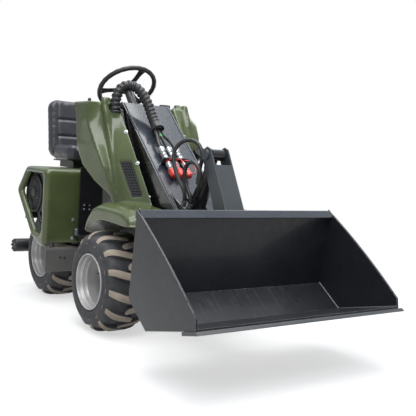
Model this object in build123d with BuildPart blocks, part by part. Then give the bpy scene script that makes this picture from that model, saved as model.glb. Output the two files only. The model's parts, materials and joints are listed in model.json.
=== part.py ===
"""Compact articulated wheel loader with a front bucket.

Millimetres, +Z up, the bucket points to -Y and the machine's left is +X.
Every place along the machine is measured from the front axle, so y = 0 is that
axle and negative y lies ahead of it.  BODY_SHIFT moves the whole machine so
that its box is centred on the origin.  Heights are given with the axles at
AXLE_Z; BODY_LIFT carries the whole machine with the size of its tyres.
"""
import os
from math import cos, hypot, radians, sin

from build123d import *

os.makedirs("parts", exist_ok=True)

# Wheels and axles
TYRE_R = 254.0
TYRE_W = 250.0
AXLE_Z = 254.0
RIM_R = 0.504 * TYRE_R
TREAD_H = 18.0
TREAD_W = 36.0
TREAD_TURN = 20.0
TREAD_BARS = 14
TYRE_FLATS = 28
BEAD_ROOM = 1.2
RIM_LIP = 14.0
RIM_WALL = 7.0
DISC_IN = 34.0
DISC_T = 12.0
FRONT_TRACK = 650.0
REAR_TRACK = 430.0
SPINDLE_R = 30.0
HUB_WALL = 20.0
AXLE_H = 80.0
MOTOR_R = 0.664 * RIM_R

# Working clearances
RUN = 0.05
SEAT = 0.3
GAP = 8.0
TYRE_ROOM = 14.0
EYE_R = 32.0

# Bucket, carried as in the photograph: crowded back and off the ground
BUCKET_W = 1110.0
BUCKET_T = 8.0
SIDE_T = 10.0
EDGE_OVER = 10.0
EDGE_T = 14.0
EDGE_AHEAD = 25.0
EDGE_BEHIND = 80.0
BUCKET_TOP = (-639.0, 675.0)
BUCKET_KNEE = (-606.0, 302.0)
BUCKET_HEEL = (-756.0, 197.0)
BUCKET_FRONT = (-1109.0, 281.0)
BUCKET_NOSE = (-1102.0, 326.0)
NOSE_BOW = 12.0
RAIL_H = 36.0
RAIL_T = 10.0

# Boom
BOOM_W = 300.0
BOOM_WALL = 10.0
BOOM_PIVOT = (318.0, 1101.0)
BOOM_SLOPE = 42.3
BOOM_UP = 70.0
BOOM_DOWN = 95.0
PIN_R = 18.0
HITCH_PIVOT = (-544.0, 350.0)

# Tilt linkage
LEVER_TOP = (-399.0, 920.0)
LEVER_FOOT = (-604.0, 520.0)
LEVER_W = 110.0
LEVER_T = 8.0
TILT_BASE = (-205.0, 495.0)
TILT_BARREL_R = 33.0
TILT_BARREL_L = 412.0
TILT_ROD_R = 17.0
TILT_ROD_FROM = 69.0

# Lift cylinder
LIFT_BASE = (120.0, 350.0)
LIFT_REACH = 300.0
LIFT_DROP = 60.0
LIFT_BARREL_R = 36.0
LIFT_BARREL_L = 430.0
LIFT_ROD_R = 20.0
LIFT_ROD_FROM = 102.0

# Steering joint and its cylinder
STEER_Y = 450.0
STEER_CYL_X = 70.0
STEER_CYL_Z = 458.0
STEER_CYL_FRONT = 350.0
STEER_CYL_REAR = 592.0
STEER_BARREL_R = 20.0
STEER_ROD_R = 10.0
KNUCKLE_R = 45.0
KNUCKLE_PIN_R = 20.0
KNUCKLE_Z0 = 286.0
KNUCKLE_Z1 = 388.0

# Frames
FRAME_Z = 294.0
FRAME_T = 12.0
TOWER_X = 158.0
CROSS_Y0 = 330.0
CROSS_Y1 = 385.0
CROSS_TOP = 430.0
RAIL_IN = 42.0
RAIL_OUT = 76.0
RAIL_TOP = 394.0
BULKHEAD_Y = 632.0
BULKHEAD_T = 8.0
BULKHEAD_HALF = 220.0
COVER_T = 8.0
COVER_SIDE = 40.0
COVER_CORNER = 40.0
COVER_ROUND = 22.0
WHEELBASE = BULKHEAD_Y + BULKHEAD_T + TYRE_ROOM + TYRE_R
REAR_END = WHEELBASE + 225.0
REAR_PLATE_T = 25.0

# Bodywork
SHELL_IN = 172.0
RIDGE_X = 235.0
VALLEY_X = 252.0
FENDER_OUT = 400.0
FENDER_CROWN = 45.0
ARCH_R = TYRE_R + 46.0
TOWER_TOP = 1170.0
COVER_X = 430.0
COVER_BOTTOM = 330.0
COVER_FRONT = BULKHEAD_Y + BULKHEAD_T
COVER_REAR = WHEELBASE + 210.0
FAN_R = 108.0
FAN_AT = (COVER_REAR - 175.0, AXLE_Z + TYRE_R + FAN_R + 14.0)
COVER_TOP = FAN_AT[1] + FAN_R + 52.0
FAN_OUT = 378.0
ENGINE_HALF = 130.0

# Spin-on oil filter behind the right rear wheel
FILTER_R = 42.0
FILTER_AT = (WHEELBASE + TYRE_R + TYRE_ROOM + FILTER_R, 265.0)
FILTER_L = 150.0
FILTER_X = 240.0
FILTER_TABS = 8

# Seat and steering wheel
SEAT_HALF = 230.0
SEAT_BACK = COVER_REAR - 40.0
SEAT_FRONT = SEAT_BACK - 285.0
SEAT_BASE_H = 45.0
CUSHION_H = 90.0
SEAT_TOP = 1215.0
BACK_T = 60.0
BACK_LEAN = 55.0
WHEEL_R = 165.0
WHEEL_RIM_R = 14.0
WHEEL_AT = (530.0, 1281.0)
WHEEL_LEAN = 40.0

BOOM_ALONG = (-cos(radians(BOOM_SLOPE)), -sin(radians(BOOM_SLOPE)))
BOOM_RISE = (-sin(radians(BOOM_SLOPE)), cos(radians(BOOM_SLOPE)))


def along_line(start, end, dist, rise=0.0):
    """Point (y, z) that lies dist from start towards end, and rise to the left of that line."""
    length = hypot(end[0] - start[0], end[1] - start[1])
    uy, uz = (end[0] - start[0]) / length, (end[1] - start[1]) / length
    return (start[0] + uy * dist - uz * rise, start[1] + uz * dist + uy * rise)


def span(start, end):
    """Distance between two (y, z) points."""
    return hypot(end[0] - start[0], end[1] - start[1])


FLOOR_L = span(BUCKET_HEEL, BUCKET_FRONT)
LIP = along_line(BUCKET_HEEL, BUCKET_FRONT, FLOOR_L + EDGE_AHEAD, EDGE_T)
REAR_REACH = FILTER_AT[0] + FILTER_R
BODY_SHIFT = -(LIP[0] + REAR_REACH) / 2
BODY_LIFT = TYRE_R - AXLE_Z


def side(x):
    """Plane seen from the left: sketch x is y on the machine, sketch y is height."""
    return Plane(origin=(x, BODY_SHIFT, BODY_LIFT), x_dir=(0, 1, 0), z_dir=(1, 0, 0))


def across(y):
    """Plane seen from the front: sketch x is x, sketch y is height, facing forward."""
    return Plane(origin=(0, BODY_SHIFT + y, BODY_LIFT), x_dir=(1, 0, 0), z_dir=(0, -1, 0))


def level(z):
    """Horizontal plane at height z."""
    return Plane(origin=(0, BODY_SHIFT, BODY_LIFT + z))


def on_boom(along, rise):
    """Point (y, z) at a distance along the boom and above its pivot line."""
    return (BOOM_PIVOT[0] + BOOM_ALONG[0] * along + BOOM_RISE[0] * rise,
            BOOM_PIVOT[1] + BOOM_ALONG[1] * along + BOOM_RISE[1] * rise)


def boom_place(point):
    """Distance along the boom and height above its pivot line of a (y, z) point."""
    dy, dz = point[0] - BOOM_PIVOT[0], point[1] - BOOM_PIVOT[1]
    return (dy * BOOM_ALONG[0] + dz * BOOM_ALONG[1], dy * BOOM_RISE[0] + dz * BOOM_RISE[1])


def in_space(x, point):
    """Point in the part's frame from x and a (y, z) place."""
    return (x, BODY_SHIFT + point[0], BODY_LIFT + point[1])


def beside(points, gap):
    """Open line of (y, z) points moved to its left by gap, with mitred corners."""
    moved = [along_line(points[0], points[1], 0, gap)]
    for before, here, after in zip(points, points[1:], points[2:]):
        n1 = along_line((0, 0), (here[0] - before[0], here[1] - before[1]), 0, 1)
        n2 = along_line((0, 0), (after[0] - here[0], after[1] - here[1]), 0, 1)
        scale = gap / (1 + n1[0] * n2[0] + n1[1] * n2[1])
        moved.append((here[0] + (n1[0] + n2[0]) * scale, here[1] + (n1[1] + n2[1]) * scale))
    moved.append(along_line(points[-2], points[-1], span(points[-2], points[-1]), gap))
    return moved


def prism(plane, points, amount, corner=0.0, mode=Mode.ADD):
    """Straight piece with a polygonal outline, its corners rounded."""
    with BuildSketch(plane) as outline:
        with BuildLine():
            Polyline(*points, close=True)
        make_face()
        if corner:
            fillet(outline.vertices(), corner)
    extrude(outline.sketch, amount=amount, mode=mode)


def plate(x0, x1, points, corner=0.0, mode=Mode.ADD):
    """Flat piece between two x planes with a side outline of (y, z) points."""
    prism(side(min(x0, x1)), points, abs(x1 - x0), corner, mode)


def slab(z0, z1, points, corner=0.0, mode=Mode.ADD):
    """Flat piece between two heights with a plan of (x, y) points."""
    prism(level(z0), points, z1 - z0, corner, mode)


def panel(y0, y1, points, corner=0.0, mode=Mode.ADD):
    """Flat piece between two y planes with a front outline of (x, z) points."""
    prism(across(y1), points, y1 - y0, corner, mode)


def block(x0, x1, y0, y1, z0, z1, mode=Mode.ADD):
    """Upright block between its corner planes."""
    slab(z0, z1, [(x0, y0), (x1, y0), (x1, y1), (x0, y1)], mode=mode)


def cross_pin(at, r, x0, x1, mode=Mode.ADD):
    """Cylinder along x at (y, z)."""
    with BuildSketch(side(min(x0, x1))) as disc:
        with Locations(at):
            Circle(r)
    extrude(disc.sketch, amount=abs(x1 - x0), mode=mode)


def upright_pin(x, y, r, z0, z1, mode=Mode.ADD):
    """Cylinder along z at (x, y)."""
    with BuildSketch(level(z0)) as disc:
        with Locations((x, y)):
            Circle(r)
    extrude(disc.sketch, amount=z1 - z0, mode=mode)


def stroke(start, end, d0, d1, r, x=0.0, mode=Mode.ADD):
    """Cylinder on the line from start to end, both (y, z), between two distances from start."""
    uy, uz = along_line((0, 0), (end[0] - start[0], end[1] - start[1]), 1.0)
    foot = in_space(x, along_line(start, end, d0))
    with BuildSketch(Plane(origin=foot, x_dir=(1, 0, 0), z_dir=(0, uy, uz))) as disc:
        Circle(r)
    extrude(disc.sketch, amount=d1 - d0, mode=mode)


def bar(start, end, r):
    """Round bar between two points in space."""
    start, end = Vector(*start), Vector(*end)
    with BuildSketch(Plane(origin=start, z_dir=end - start)) as disc:
        Circle(r)
    extrude(disc.sketch, amount=(end - start).length)


def spun(profile, x, y, z, turn):
    """Solid of revolution about the x axis at (y, z); profile is (outward from x, radius)."""
    at = Plane(origin=in_space(x, (y, z)), x_dir=(turn, 0, 0), z_dir=(0, -turn, 0))
    with BuildSketch(at) as outline:
        with BuildLine():
            Polyline(*profile, close=True)
        make_face()
    revolve(outline.sketch, axis=Axis(in_space(x, (y, z)), (1, 0, 0)))


def hose(points, r):
    """Round hose along straight runs joined by the largest arcs that the runs allow."""
    vecs = [Vector(*p) for p in points]
    radii = []
    for before, here, after in zip(vecs, vecs[1:], vecs[2:]):
        half_turn = radians((here - before).get_angle(after - here)) / 2
        reach = 0.45 * min((here - before).length, (after - here).length)
        radii.append(reach * cos(half_turn) / sin(half_turn))
    with BuildLine() as route:
        FilletPolyline(*vecs, radius=radii)
    with BuildSketch(Plane(origin=vecs[0], z_dir=vecs[1] - vecs[0])) as ring:
        Circle(r)
    sweep(ring.sketch, path=route.line)


def keep(part, name):
    """Label a finished piece and write it."""
    part.label = name
    export_step(part, f"parts/{name}.step")


# Front frame: side plates that carry the axle, the boom's pivot and the steering joint
LIFT_EYE = on_boom(LIFT_REACH, -LIFT_DROP)
EAR_T = 20.0
EAR_GAP = 6.0
EAR_END = 50.0
EAR_HALF = 55.0
LUG_IN = 44.0
LUG_T = 12.0
FRAME_FRONT = -110.0
COLUMN_Y0 = 400.0
COLUMN_Y1 = 460.0
PIN_PROUD = 8.0
with BuildPart() as front_chassis:
    tower_edge = [(FRAME_FRONT, FRAME_Z), (CROSS_Y1, FRAME_Z), (CROSS_Y1 + 45, CROSS_TOP),
                  (COLUMN_Y1 - 5, BOOM_PIVOT[1] - 40), (COLUMN_Y1 - 15, BOOM_PIVOT[1] + 40),
                  (BOOM_PIVOT[0] - 45, BOOM_PIVOT[1] + 40), (BOOM_PIVOT[0] - 75, BOOM_PIVOT[1] - 30),
                  (30, 700), (FRAME_FRONT, 480)]
    for turn in (1, -1):
        plate(turn * TOWER_X, turn * (TOWER_X + FRAME_T), tower_edge, corner=20)
    block(-TOWER_X, TOWER_X, FRAME_FRONT + 20, CROSS_Y1 - 20, FRAME_Z, FRAME_Z + FRAME_T)
    block(-TOWER_X, TOWER_X, CROSS_Y0, CROSS_Y1, FRAME_Z + FRAME_T, CROSS_TOP)
    ear_plan = [(-2 * EAR_HALF, CROSS_Y0), (2 * EAR_HALF, CROSS_Y0), (2 * EAR_HALF, CROSS_Y1),
                (EAR_HALF, STEER_Y + EAR_END), (-EAR_HALF, STEER_Y + EAR_END), (-2 * EAR_HALF, CROSS_Y1)]
    slab(KNUCKLE_Z1 + EAR_GAP, KNUCKLE_Z1 + EAR_GAP + EAR_T, ear_plan)
    slab(KNUCKLE_Z0 - EAR_GAP - EAR_T, KNUCKLE_Z0 - EAR_GAP, ear_plan)
    block(-2 * EAR_HALF, 2 * EAR_HALF, CROSS_Y0, CROSS_Y1 - 20, KNUCKLE_Z0 - EAR_GAP, FRAME_Z)
    lug = [(LIFT_BASE[0] - 45, FRAME_Z + FRAME_T), (LIFT_BASE[0] + 45, FRAME_Z + FRAME_T),
           (LIFT_BASE[0] + 25, LIFT_BASE[1] + 30), (LIFT_BASE[0] - 25, LIFT_BASE[1] + 30)]
    for turn in (1, -1):
        plate(turn * LUG_IN, turn * (LUG_IN + LUG_T), lug)
    cross_pin(LIFT_BASE, PIN_R, -LUG_IN - LUG_T - PIN_PROUD, LUG_IN + LUG_T + PIN_PROUD)
    upright_pin(STEER_CYL_X, STEER_CYL_FRONT, STEER_BARREL_R - 8, CROSS_TOP, STEER_CYL_Z + STEER_BARREL_R + 8)
    cross_pin(BOOM_PIVOT, PIN_R + SEAT, -TOWER_X - FRAME_T, TOWER_X + FRAME_T, mode=Mode.SUBTRACT)
    upright_pin(0, STEER_Y, KNUCKLE_PIN_R + SEAT, KNUCKLE_Z0 - 60, KNUCKLE_Z1 + 60, mode=Mode.SUBTRACT)
keep(front_chassis.part, "front_chassis")

with BuildPart() as boom_pin:
    cross_pin(BOOM_PIVOT, PIN_R, -SHELL_IN + SEAT, SHELL_IN - SEAT)
keep(boom_pin.part, "boom_pin")

with BuildPart() as steering_pin:
    upright_pin(0, STEER_Y, KNUCKLE_PIN_R, KNUCKLE_Z0 - EAR_GAP - EAR_T - 4, KNUCKLE_Z1 + EAR_GAP + EAR_T)
    upright_pin(0, STEER_Y, KNUCKLE_PIN_R + 10, KNUCKLE_Z1 + EAR_GAP + EAR_T,
                KNUCKLE_Z1 + EAR_GAP + EAR_T + 8)
keep(steering_pin.part, "steering_pin")

# Axles and wheels; columns: name, y, track
AXLES = [("front", 0.0, FRONT_TRACK), ("rear", WHEELBASE, REAR_TRACK)]
LIP_R = RIM_R + RIM_LIP
BARREL_IN = RIM_R - RIM_WALL
HALF_W = TYRE_W / 2
RIM_PROFILE = [
    (-DISC_IN - DISC_T, SPINDLE_R + RUN), (DISC_T, SPINDLE_R + RUN), (DISC_T, SPINDLE_R + HUB_WALL),
    (DISC_T - DISC_IN, SPINDLE_R + HUB_WALL + 10), (DISC_T - DISC_IN, BARREL_IN), (HALF_W - 31, BARREL_IN),
    (HALF_W - 13, LIP_R - 8), (HALF_W, LIP_R - 8), (HALF_W, LIP_R), (HALF_W - 9, LIP_R),
    (HALF_W - 23, RIM_R), (23 - HALF_W, RIM_R), (9 - HALF_W, LIP_R), (-HALF_W, LIP_R), (-HALF_W, LIP_R - 8),
    (13 - HALF_W, LIP_R - 8), (31 - HALF_W, BARREL_IN), (-DISC_IN, BARREL_IN),
    (-DISC_IN, SPINDLE_R + HUB_WALL)]
WALL_H = TYRE_R - LIP_R
WIDEST_R, SHOULDER_R = (LIP_R + share * WALL_H for share in (0.33, 0.72))
CARCASS_R = TYRE_R - TREAD_H
TYRE_OUTSIDE = [
    (2 - HALF_W, LIP_R + 10), (-HALF_W, WIDEST_R), (6 - HALF_W, SHOULDER_R - TREAD_H),
    (34 - HALF_W, CARCASS_R - 8), (HALF_W - 34, CARCASS_R - 8), (HALF_W - 6, SHOULDER_R - TREAD_H),
    (HALF_W, WIDEST_R), (HALF_W - 2, LIP_R + 10)]
TYRE_INSIDE = [
    (1 - HALF_W, LIP_R + 12), (9 - HALF_W, LIP_R + BEAD_ROOM), (23 - HALF_W, RIM_R + BEAD_ROOM),
    (HALF_W - 23, RIM_R + BEAD_ROOM), (HALF_W - 9, LIP_R + BEAD_ROOM), (HALF_W - 1, LIP_R + 12)]
BAR_SIDE = [(-12, CARCASS_R - 14), (-12, TYRE_R), (60, TYRE_R - 3), (96, TYRE_R - 14), (121, SHOULDER_R + 2),
            (121, SHOULDER_R - TREAD_H - 6), (90, CARCASS_R - 34)]


def ring(rows, mode=Mode.ADD):
    """Ring of flats about the front axle; rows are (x from the tyre's middle, radius)."""
    sections = []
    for out, radius in rows:
        with BuildSketch(side(out)) as outline:
            with Locations((0, AXLE_Z)):
                RegularPolygon(radius, TYRE_FLATS)
        sections.append(outline.sketch)
    loft(sections, ruled=True, mode=mode)


def tread_bar(turn, angle):
    """Tread bar from just over the middle to the shoulder, skewed from the wheel's axis."""
    radial = Vector(0, cos(radians(angle)), sin(radians(angle)))
    along = Vector(turn, 0, 0).rotate(Axis((0, 0, 0), tuple(radial)), turn * TREAD_TURN)
    with BuildSketch(Plane(in_space(0, (0, AXLE_Z)), x_dir=along, z_dir=along.cross(radial))) as bar_side:
        with BuildLine():
            Polyline(*BAR_SIDE, close=True)
        make_face()
    extrude(bar_side.sketch, amount=TREAD_W / 2, both=True)


with BuildPart() as one_tyre:
    ring(TYRE_OUTSIDE)
    for number in range(TREAD_BARS):
        for turn, ahead in ((1, 0.0), (-1, 0.5)):
            tread_bar(turn, (number + ahead) * 360 / TREAD_BARS)
    ring(TYRE_INSIDE, mode=Mode.SUBTRACT)

for name, axle_y, track in AXLES:
    wheel_x = track / 2
    beam_half = wheel_x - HALF_W - GAP
    with BuildPart() as axle:
        block(-beam_half, beam_half, axle_y - AXLE_H / 2, axle_y + AXLE_H / 2,
              AXLE_Z - AXLE_H / 2, AXLE_Z + AXLE_H / 2)
        for turn in (1, -1):
            cross_pin((axle_y, AXLE_Z), MOTOR_R, turn * beam_half, turn * (wheel_x - DISC_IN - DISC_T - GAP))
            cross_pin((axle_y, AXLE_Z), SPINDLE_R, turn * beam_half, turn * (wheel_x + DISC_T + 6))
    keep(axle.part, f"{name}_axle")
    for end, turn in (("left", 1), ("right", -1)):
        with BuildPart() as rim:
            spun(RIM_PROFILE, turn * wheel_x, axle_y, AXLE_Z, turn)
        keep(rim.part, f"rim_{name}_{end}")
        with BuildPart() as tyre:
            add(one_tyre.part.moved(Location((turn * wheel_x, axle_y, 0))))
        keep(tyre.part, f"tyre_{name}_{end}")

# Green bodywork each side of the tower: a leaning shell with a ridge beside the boom and a swept blade
# Columns: share of height; y of front edge, ridge, valley; x, y of the blade and its rear; y of the back
STRIP_FOOT = 620.0
SHELL = [
    (0.0, -164.0, 28.0, 118.0, 254.0, 128.0, 256.0, 150.0, 300.0),
    (0.095, -120.0, 56.0, 138.0, 258.0, 146.0, 262.0, 178.0, 328.0),
    (0.229, -59.0, 94.0, 158.0, 280.0, 160.0, 308.0, 286.0, 369.0),
    (0.364, 2.0, 131.0, 186.0, 302.0, 178.0, 330.0, 385.0, 409.0),
    (0.564, 93.0, 187.0, 226.0, 322.0, 250.0, 343.0, 452.0, 470.0),
    (0.818, 209.0, 249.0, 266.0, 342.0, 346.0, 346.0, 540.0, 555.0),
    (1.0, 291.0, 292.0, 303.0, 345.0, 398.0, 347.0, 590.0, 597.0)]
CREST = [(308, -14), (358, -14), (348, 28), (318, 28)]
CREST_IN, CREST_OUT = 212.0, 250.0
FENDER = [(-320, 560), (-300, 612), (-230, 640), (-120, 648), (39, 648), (110, 628), (172, 565),
          (0.717 * ARCH_R, AXLE_Z + 0.753 * ARCH_R), (0.6 * ARCH_R, AXLE_Z + 0.553 * ARCH_R),
          (-0.76 * ARCH_R, AXLE_Z + 0.553 * ARCH_R), (-320, 480)]
# Grille corners on the shell's side; columns: distance from the middle, y, z
GRILLE = [(232.0, 144.0, 857.0), (195.0, 81.0, 862.0), (194.0, -51.0, 686.0), (218.0, 14.0, 680.0)]
GRILLE_T = 8.0
GRILLE_SINK = 9.0
GRILLE_HOLE_R = 5.0
GRILLE_ROWS, GRILLE_COLUMNS = 12, 4
GLAND_AT = (-206.0, 272.0)
GLAND_R = 30.0
GLAND_ROOM = 34.0
GLAND_TOP = TOWER_TOP - 45.0
LAMP_X = 300.0
LAMP_R = 36.0
LAMP_L = 42.0
LAMP_BOSS = 24.0
LAMP_AT = (222.0, STRIP_FOOT + 0.509 * (TOWER_TOP - STRIP_FOOT))
LAMP_AIM = (LAMP_AT[0] - 84.0, LAMP_AT[1] + 55.0)


def grille_place(turn):
    """Plane of a grille, facing outwards, and its corners on that plane."""
    corners = [Vector(*in_space(turn * x, (y, z))) for x, y, z in GRILLE]
    outwards = (corners[1] - corners[0]).cross(corners[3] - corners[0])
    if outwards.X * turn < 0:
        outwards = -outwards
    plane = Plane(origin=corners[0], x_dir=corners[1] - corners[0], z_dir=outwards)
    return plane, [(point.X, point.Y) for point in map(plane.to_local_coords, corners)]


def grille_spots(corners):
    """Centres of the holes, in rows between the slanting edges."""
    top, end, foot, start = (Vector(*corner) for corner in corners)
    shares = [((row + 1) / (GRILLE_ROWS + 1), (column + 1) / (GRILLE_COLUMNS + 1))
              for row in range(GRILLE_ROWS) for column in range(GRILLE_COLUMNS)]
    spots = [(top * (1 - u) + end * u) * (1 - v) + (start * (1 - u) + foot * u) * v for v, u in shares]
    return [(spot.X, spot.Y) for spot in spots]


for end, turn in (("left", 1), ("right", -1)):
    grille_plane, grille_edge = grille_place(turn)
    with BuildPart() as body:
        sections = []
        for share, front, ridge, valley, blade_x, blade_y, rear_x, rear_y, back in SHELL:
            edge = [(SHELL_IN, front), (RIDGE_X, ridge), (VALLEY_X, valley), (blade_x, blade_y),
                    (rear_x, rear_y), (SHELL_IN, back)]
            with BuildSketch(level(STRIP_FOOT + share * (TOWER_TOP - STRIP_FOOT))) as section:
                with BuildLine():
                    Polyline(*[(turn * x, y) for x, y in edge], close=True)
                make_face()
            sections.append(section.sketch)
        loft(sections, ruled=True)
        plate(turn * CREST_IN, turn * CREST_OUT, [(y, TOWER_TOP + up) for y, up in CREST])
        if end == "right":
            upright_pin(*GLAND_AT, GLAND_ROOM, GLAND_TOP, TOWER_TOP + 40, mode=Mode.SUBTRACT)
            upright_pin(*GLAND_AT, GLAND_R, GLAND_TOP - 70, GLAND_TOP)
        else:
            stroke(LAMP_AT, LAMP_AIM, -40, LAMP_BOSS, LAMP_R - 6, x=LAMP_X)
        plate(turn * SHELL_IN, turn * (FENDER_OUT - FENDER_CROWN), FENDER, corner=12)
        with BuildSketch(side(turn * (FENDER_OUT - FENDER_CROWN))) as guard:
            with BuildLine():
                Polyline(*FENDER, close=True)
            make_face()
            fillet(guard.vertices(), 12)
        extrude(guard.sketch, amount=turn * FENDER_CROWN, taper=28)
        cross_pin((0, AXLE_Z), ARCH_R, turn * (SHELL_IN - 1), turn * (FENDER_OUT + 1), mode=Mode.SUBTRACT)
        prism(grille_plane.offset(-GRILLE_SINK), grille_edge, 3 * GRILLE_SINK, mode=Mode.SUBTRACT)
    keep(body.part, f"body_{end}")
    with BuildPart() as grille:
        prism(grille_plane.offset(-GRILLE_SINK), grille_edge, GRILLE_T)
        with BuildSketch(grille_plane.offset(-GRILLE_SINK)) as holes:
            with Locations(*grille_spots(grille_edge)):
                RegularPolygon(GRILLE_HOLE_R, 6)
        extrude(holes.sketch, amount=GRILLE_T, mode=Mode.SUBTRACT)
    keep(grille.part, f"grille_{end}")

# Oil filler cap on the left tower, and the lamp below it
CAP_AT = (198.0, 420.0)
CAP_R = 32.0
CAP_H = 26.0
with BuildPart() as filler_cap:
    upright_pin(*CAP_AT, CAP_R - 6, TOWER_TOP, TOWER_TOP + 8)
    upright_pin(*CAP_AT, CAP_R, TOWER_TOP + 8, TOWER_TOP + CAP_H)
keep(filler_cap.part, "filler_cap")

with BuildPart() as side_lamp:
    stroke(LAMP_AT, LAMP_AIM, LAMP_BOSS + SEAT, LAMP_BOSS + LAMP_L, LAMP_R, x=LAMP_X)
keep(side_lamp.part, "side_lamp")

# Steering column and wheel on the front frame, behind the boom's pivot
WHEEL_AXIS = (sin(radians(WHEEL_LEAN)), cos(radians(WHEEL_LEAN)))
COLUMN_R = 24.0
SHAFT_R = 11.0
COLUMN_L = 190.0
HUB_L = 46.0
COLUMN_FOOT = along_line(WHEEL_AT, (WHEEL_AT[0] - WHEEL_AXIS[0], WHEEL_AT[1] - WHEEL_AXIS[1]), COLUMN_L)
with BuildPart() as steering_column:
    stroke(COLUMN_FOOT, WHEEL_AT, 0, COLUMN_L - HUB_L, COLUMN_R)
    stroke(COLUMN_FOOT, WHEEL_AT, COLUMN_L - HUB_L - 1, COLUMN_L, SHAFT_R)
    block(-TOWER_X, TOWER_X, COLUMN_Y0, COLUMN_Y1, COLUMN_FOOT[1] - 30, COLUMN_FOOT[1])
keep(steering_column.part, "steering_column")

SPOKE_W = 26.0
SPOKE_T = 10.0
HUB_R = 36.0
with BuildPart() as steering_wheel:
    wheel_plane = Plane(origin=in_space(0, WHEEL_AT), x_dir=(1, 0, 0), z_dir=(0, *WHEEL_AXIS))
    rim_plane = Plane(origin=in_space(0, WHEEL_AT), x_dir=(1, 0, 0), z_dir=(0, WHEEL_AXIS[1], -WHEEL_AXIS[0]))
    with BuildSketch(rim_plane) as ring:
        with Locations((WHEEL_R, 0)):
            Circle(WHEEL_RIM_R)
    revolve(ring.sketch, axis=Axis(in_space(0, WHEEL_AT), (0, *WHEEL_AXIS)))
    with BuildSketch(wheel_plane) as spokes:
        with PolarLocations((WHEEL_R + HUB_R / 2) / 2, 3, start_angle=90):
            Rectangle(WHEEL_R - HUB_R / 2, SPOKE_W)
    extrude(spokes.sketch, amount=SPOKE_T / 2, both=True)
    stroke(WHEEL_AT, along_line(WHEEL_AT, COLUMN_FOOT, -1), -30, 14, HUB_R)
    stroke(WHEEL_AT, along_line(WHEEL_AT, COLUMN_FOOT, -1), -31, 1, SHAFT_R + RUN, mode=Mode.SUBTRACT)
keep(steering_wheel.part, "steering_wheel")

LEVER_AT = (-140.0, 490.0)
KNOB_AT = (-205.0, 600.0, 1250.0)
KNOB_R = 19.0
with BuildPart() as control_lever:
    block(-TOWER_X, LEVER_AT[0] + 20, COLUMN_Y1, LEVER_AT[1] + 25, COLUMN_FOOT[1] - 30, COLUMN_FOOT[1])
    bar(in_space(LEVER_AT[0], (LEVER_AT[1], COLUMN_FOOT[1] - 10)), in_space(KNOB_AT[0], KNOB_AT[1:]), 7)
    with Locations(in_space(KNOB_AT[0], KNOB_AT[1:])):
        Sphere(KNOB_R)
keep(control_lever.part, "control_lever")

# Boom: a channel of two walls and a top plate, slotted for the tilt cylinder
HITCH_AT = boom_place(HITCH_PIVOT)
TILT_AT = boom_place(TILT_BASE)
TILT_LUG = 30.0
WALL_OUT = BOOM_W / 2
WALL_IN = WALL_OUT - BOOM_WALL
PLATE_END = 1030.0
SLOT_S0, SLOT_S1 = 680.0, 925.0
SLOT_HALF = 48.0
LIFT_EAR_IN = 40.0
with BuildPart() as boom:
    wall = [on_boom(-48, BOOM_UP), on_boom(PLATE_END, BOOM_UP), on_boom(HITCH_AT[0] + 15, HITCH_AT[1] + 40),
            on_boom(HITCH_AT[0] + 40, HITCH_AT[1] + 15), on_boom(HITCH_AT[0] + 40, HITCH_AT[1] - 20),
            on_boom(HITCH_AT[0] + 10, HITCH_AT[1] - 44), on_boom(950, -BOOM_DOWN),
            on_boom(TILT_AT[0] + 2 * TILT_LUG, -BOOM_DOWN),
            on_boom(TILT_AT[0] + TILT_LUG, TILT_AT[1] - TILT_LUG),
            on_boom(TILT_AT[0] - TILT_LUG, TILT_AT[1] - TILT_LUG),
            on_boom(TILT_AT[0] - 2 * TILT_LUG, -BOOM_DOWN), on_boom(180, -BOOM_DOWN), on_boom(-40, -52)]
    for turn in (1, -1):
        plate(turn * WALL_IN, turn * WALL_OUT, wall, corner=10)
    top = [on_boom(-38, BOOM_UP), on_boom(PLATE_END - 10, BOOM_UP),
           on_boom(PLATE_END - 10, BOOM_UP - BOOM_WALL), on_boom(-38, BOOM_UP - BOOM_WALL)]
    plate(-WALL_IN, WALL_IN, top)
    slot = [on_boom(SLOT_S0, BOOM_UP + 1), on_boom(SLOT_S1, BOOM_UP + 1),
            on_boom(SLOT_S1, BOOM_UP - BOOM_WALL - 1), on_boom(SLOT_S0, BOOM_UP - BOOM_WALL - 1)]
    plate(-SLOT_HALF, SLOT_HALF, slot, mode=Mode.SUBTRACT)
    ear = [on_boom(LIFT_REACH - 50, BOOM_UP - BOOM_WALL), on_boom(LIFT_REACH + 50, BOOM_UP - BOOM_WALL),
           on_boom(LIFT_REACH + 30, -LIFT_DROP - 30), on_boom(LIFT_REACH - 30, -LIFT_DROP - 30)]
    for turn in (1, -1):
        plate(turn * LIFT_EAR_IN, turn * (LIFT_EAR_IN + LUG_T), ear)
        cross_pin(LIFT_EYE, 26, turn * (LIFT_EAR_IN + LUG_T), turn * (LIFT_EAR_IN + LUG_T + 10))
    cross_pin(TILT_BASE, PIN_R, -WALL_IN, WALL_IN)
    cross_pin(BOOM_PIVOT, PIN_R + RUN, -WALL_OUT, WALL_OUT, mode=Mode.SUBTRACT)
    cross_pin(HITCH_PIVOT, PIN_R + RUN, -WALL_OUT, WALL_OUT, mode=Mode.SUBTRACT)
keep(boom.part, "boom")

GUSSET_T = 10.0
GUSSET_X = 118.0
with BuildPart() as boom_gussets:
    web = [on_boom(SLOT_S0 - 30, BOOM_UP), on_boom(SLOT_S1 + 60, BOOM_UP),
           on_boom(SLOT_S1 - 60, BOOM_UP + 70)]
    for turn in (1, -1):
        plate(turn * GUSSET_X, turn * (GUSSET_X + GUSSET_T), web)
keep(boom_gussets.part, "boom_gussets")

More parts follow.
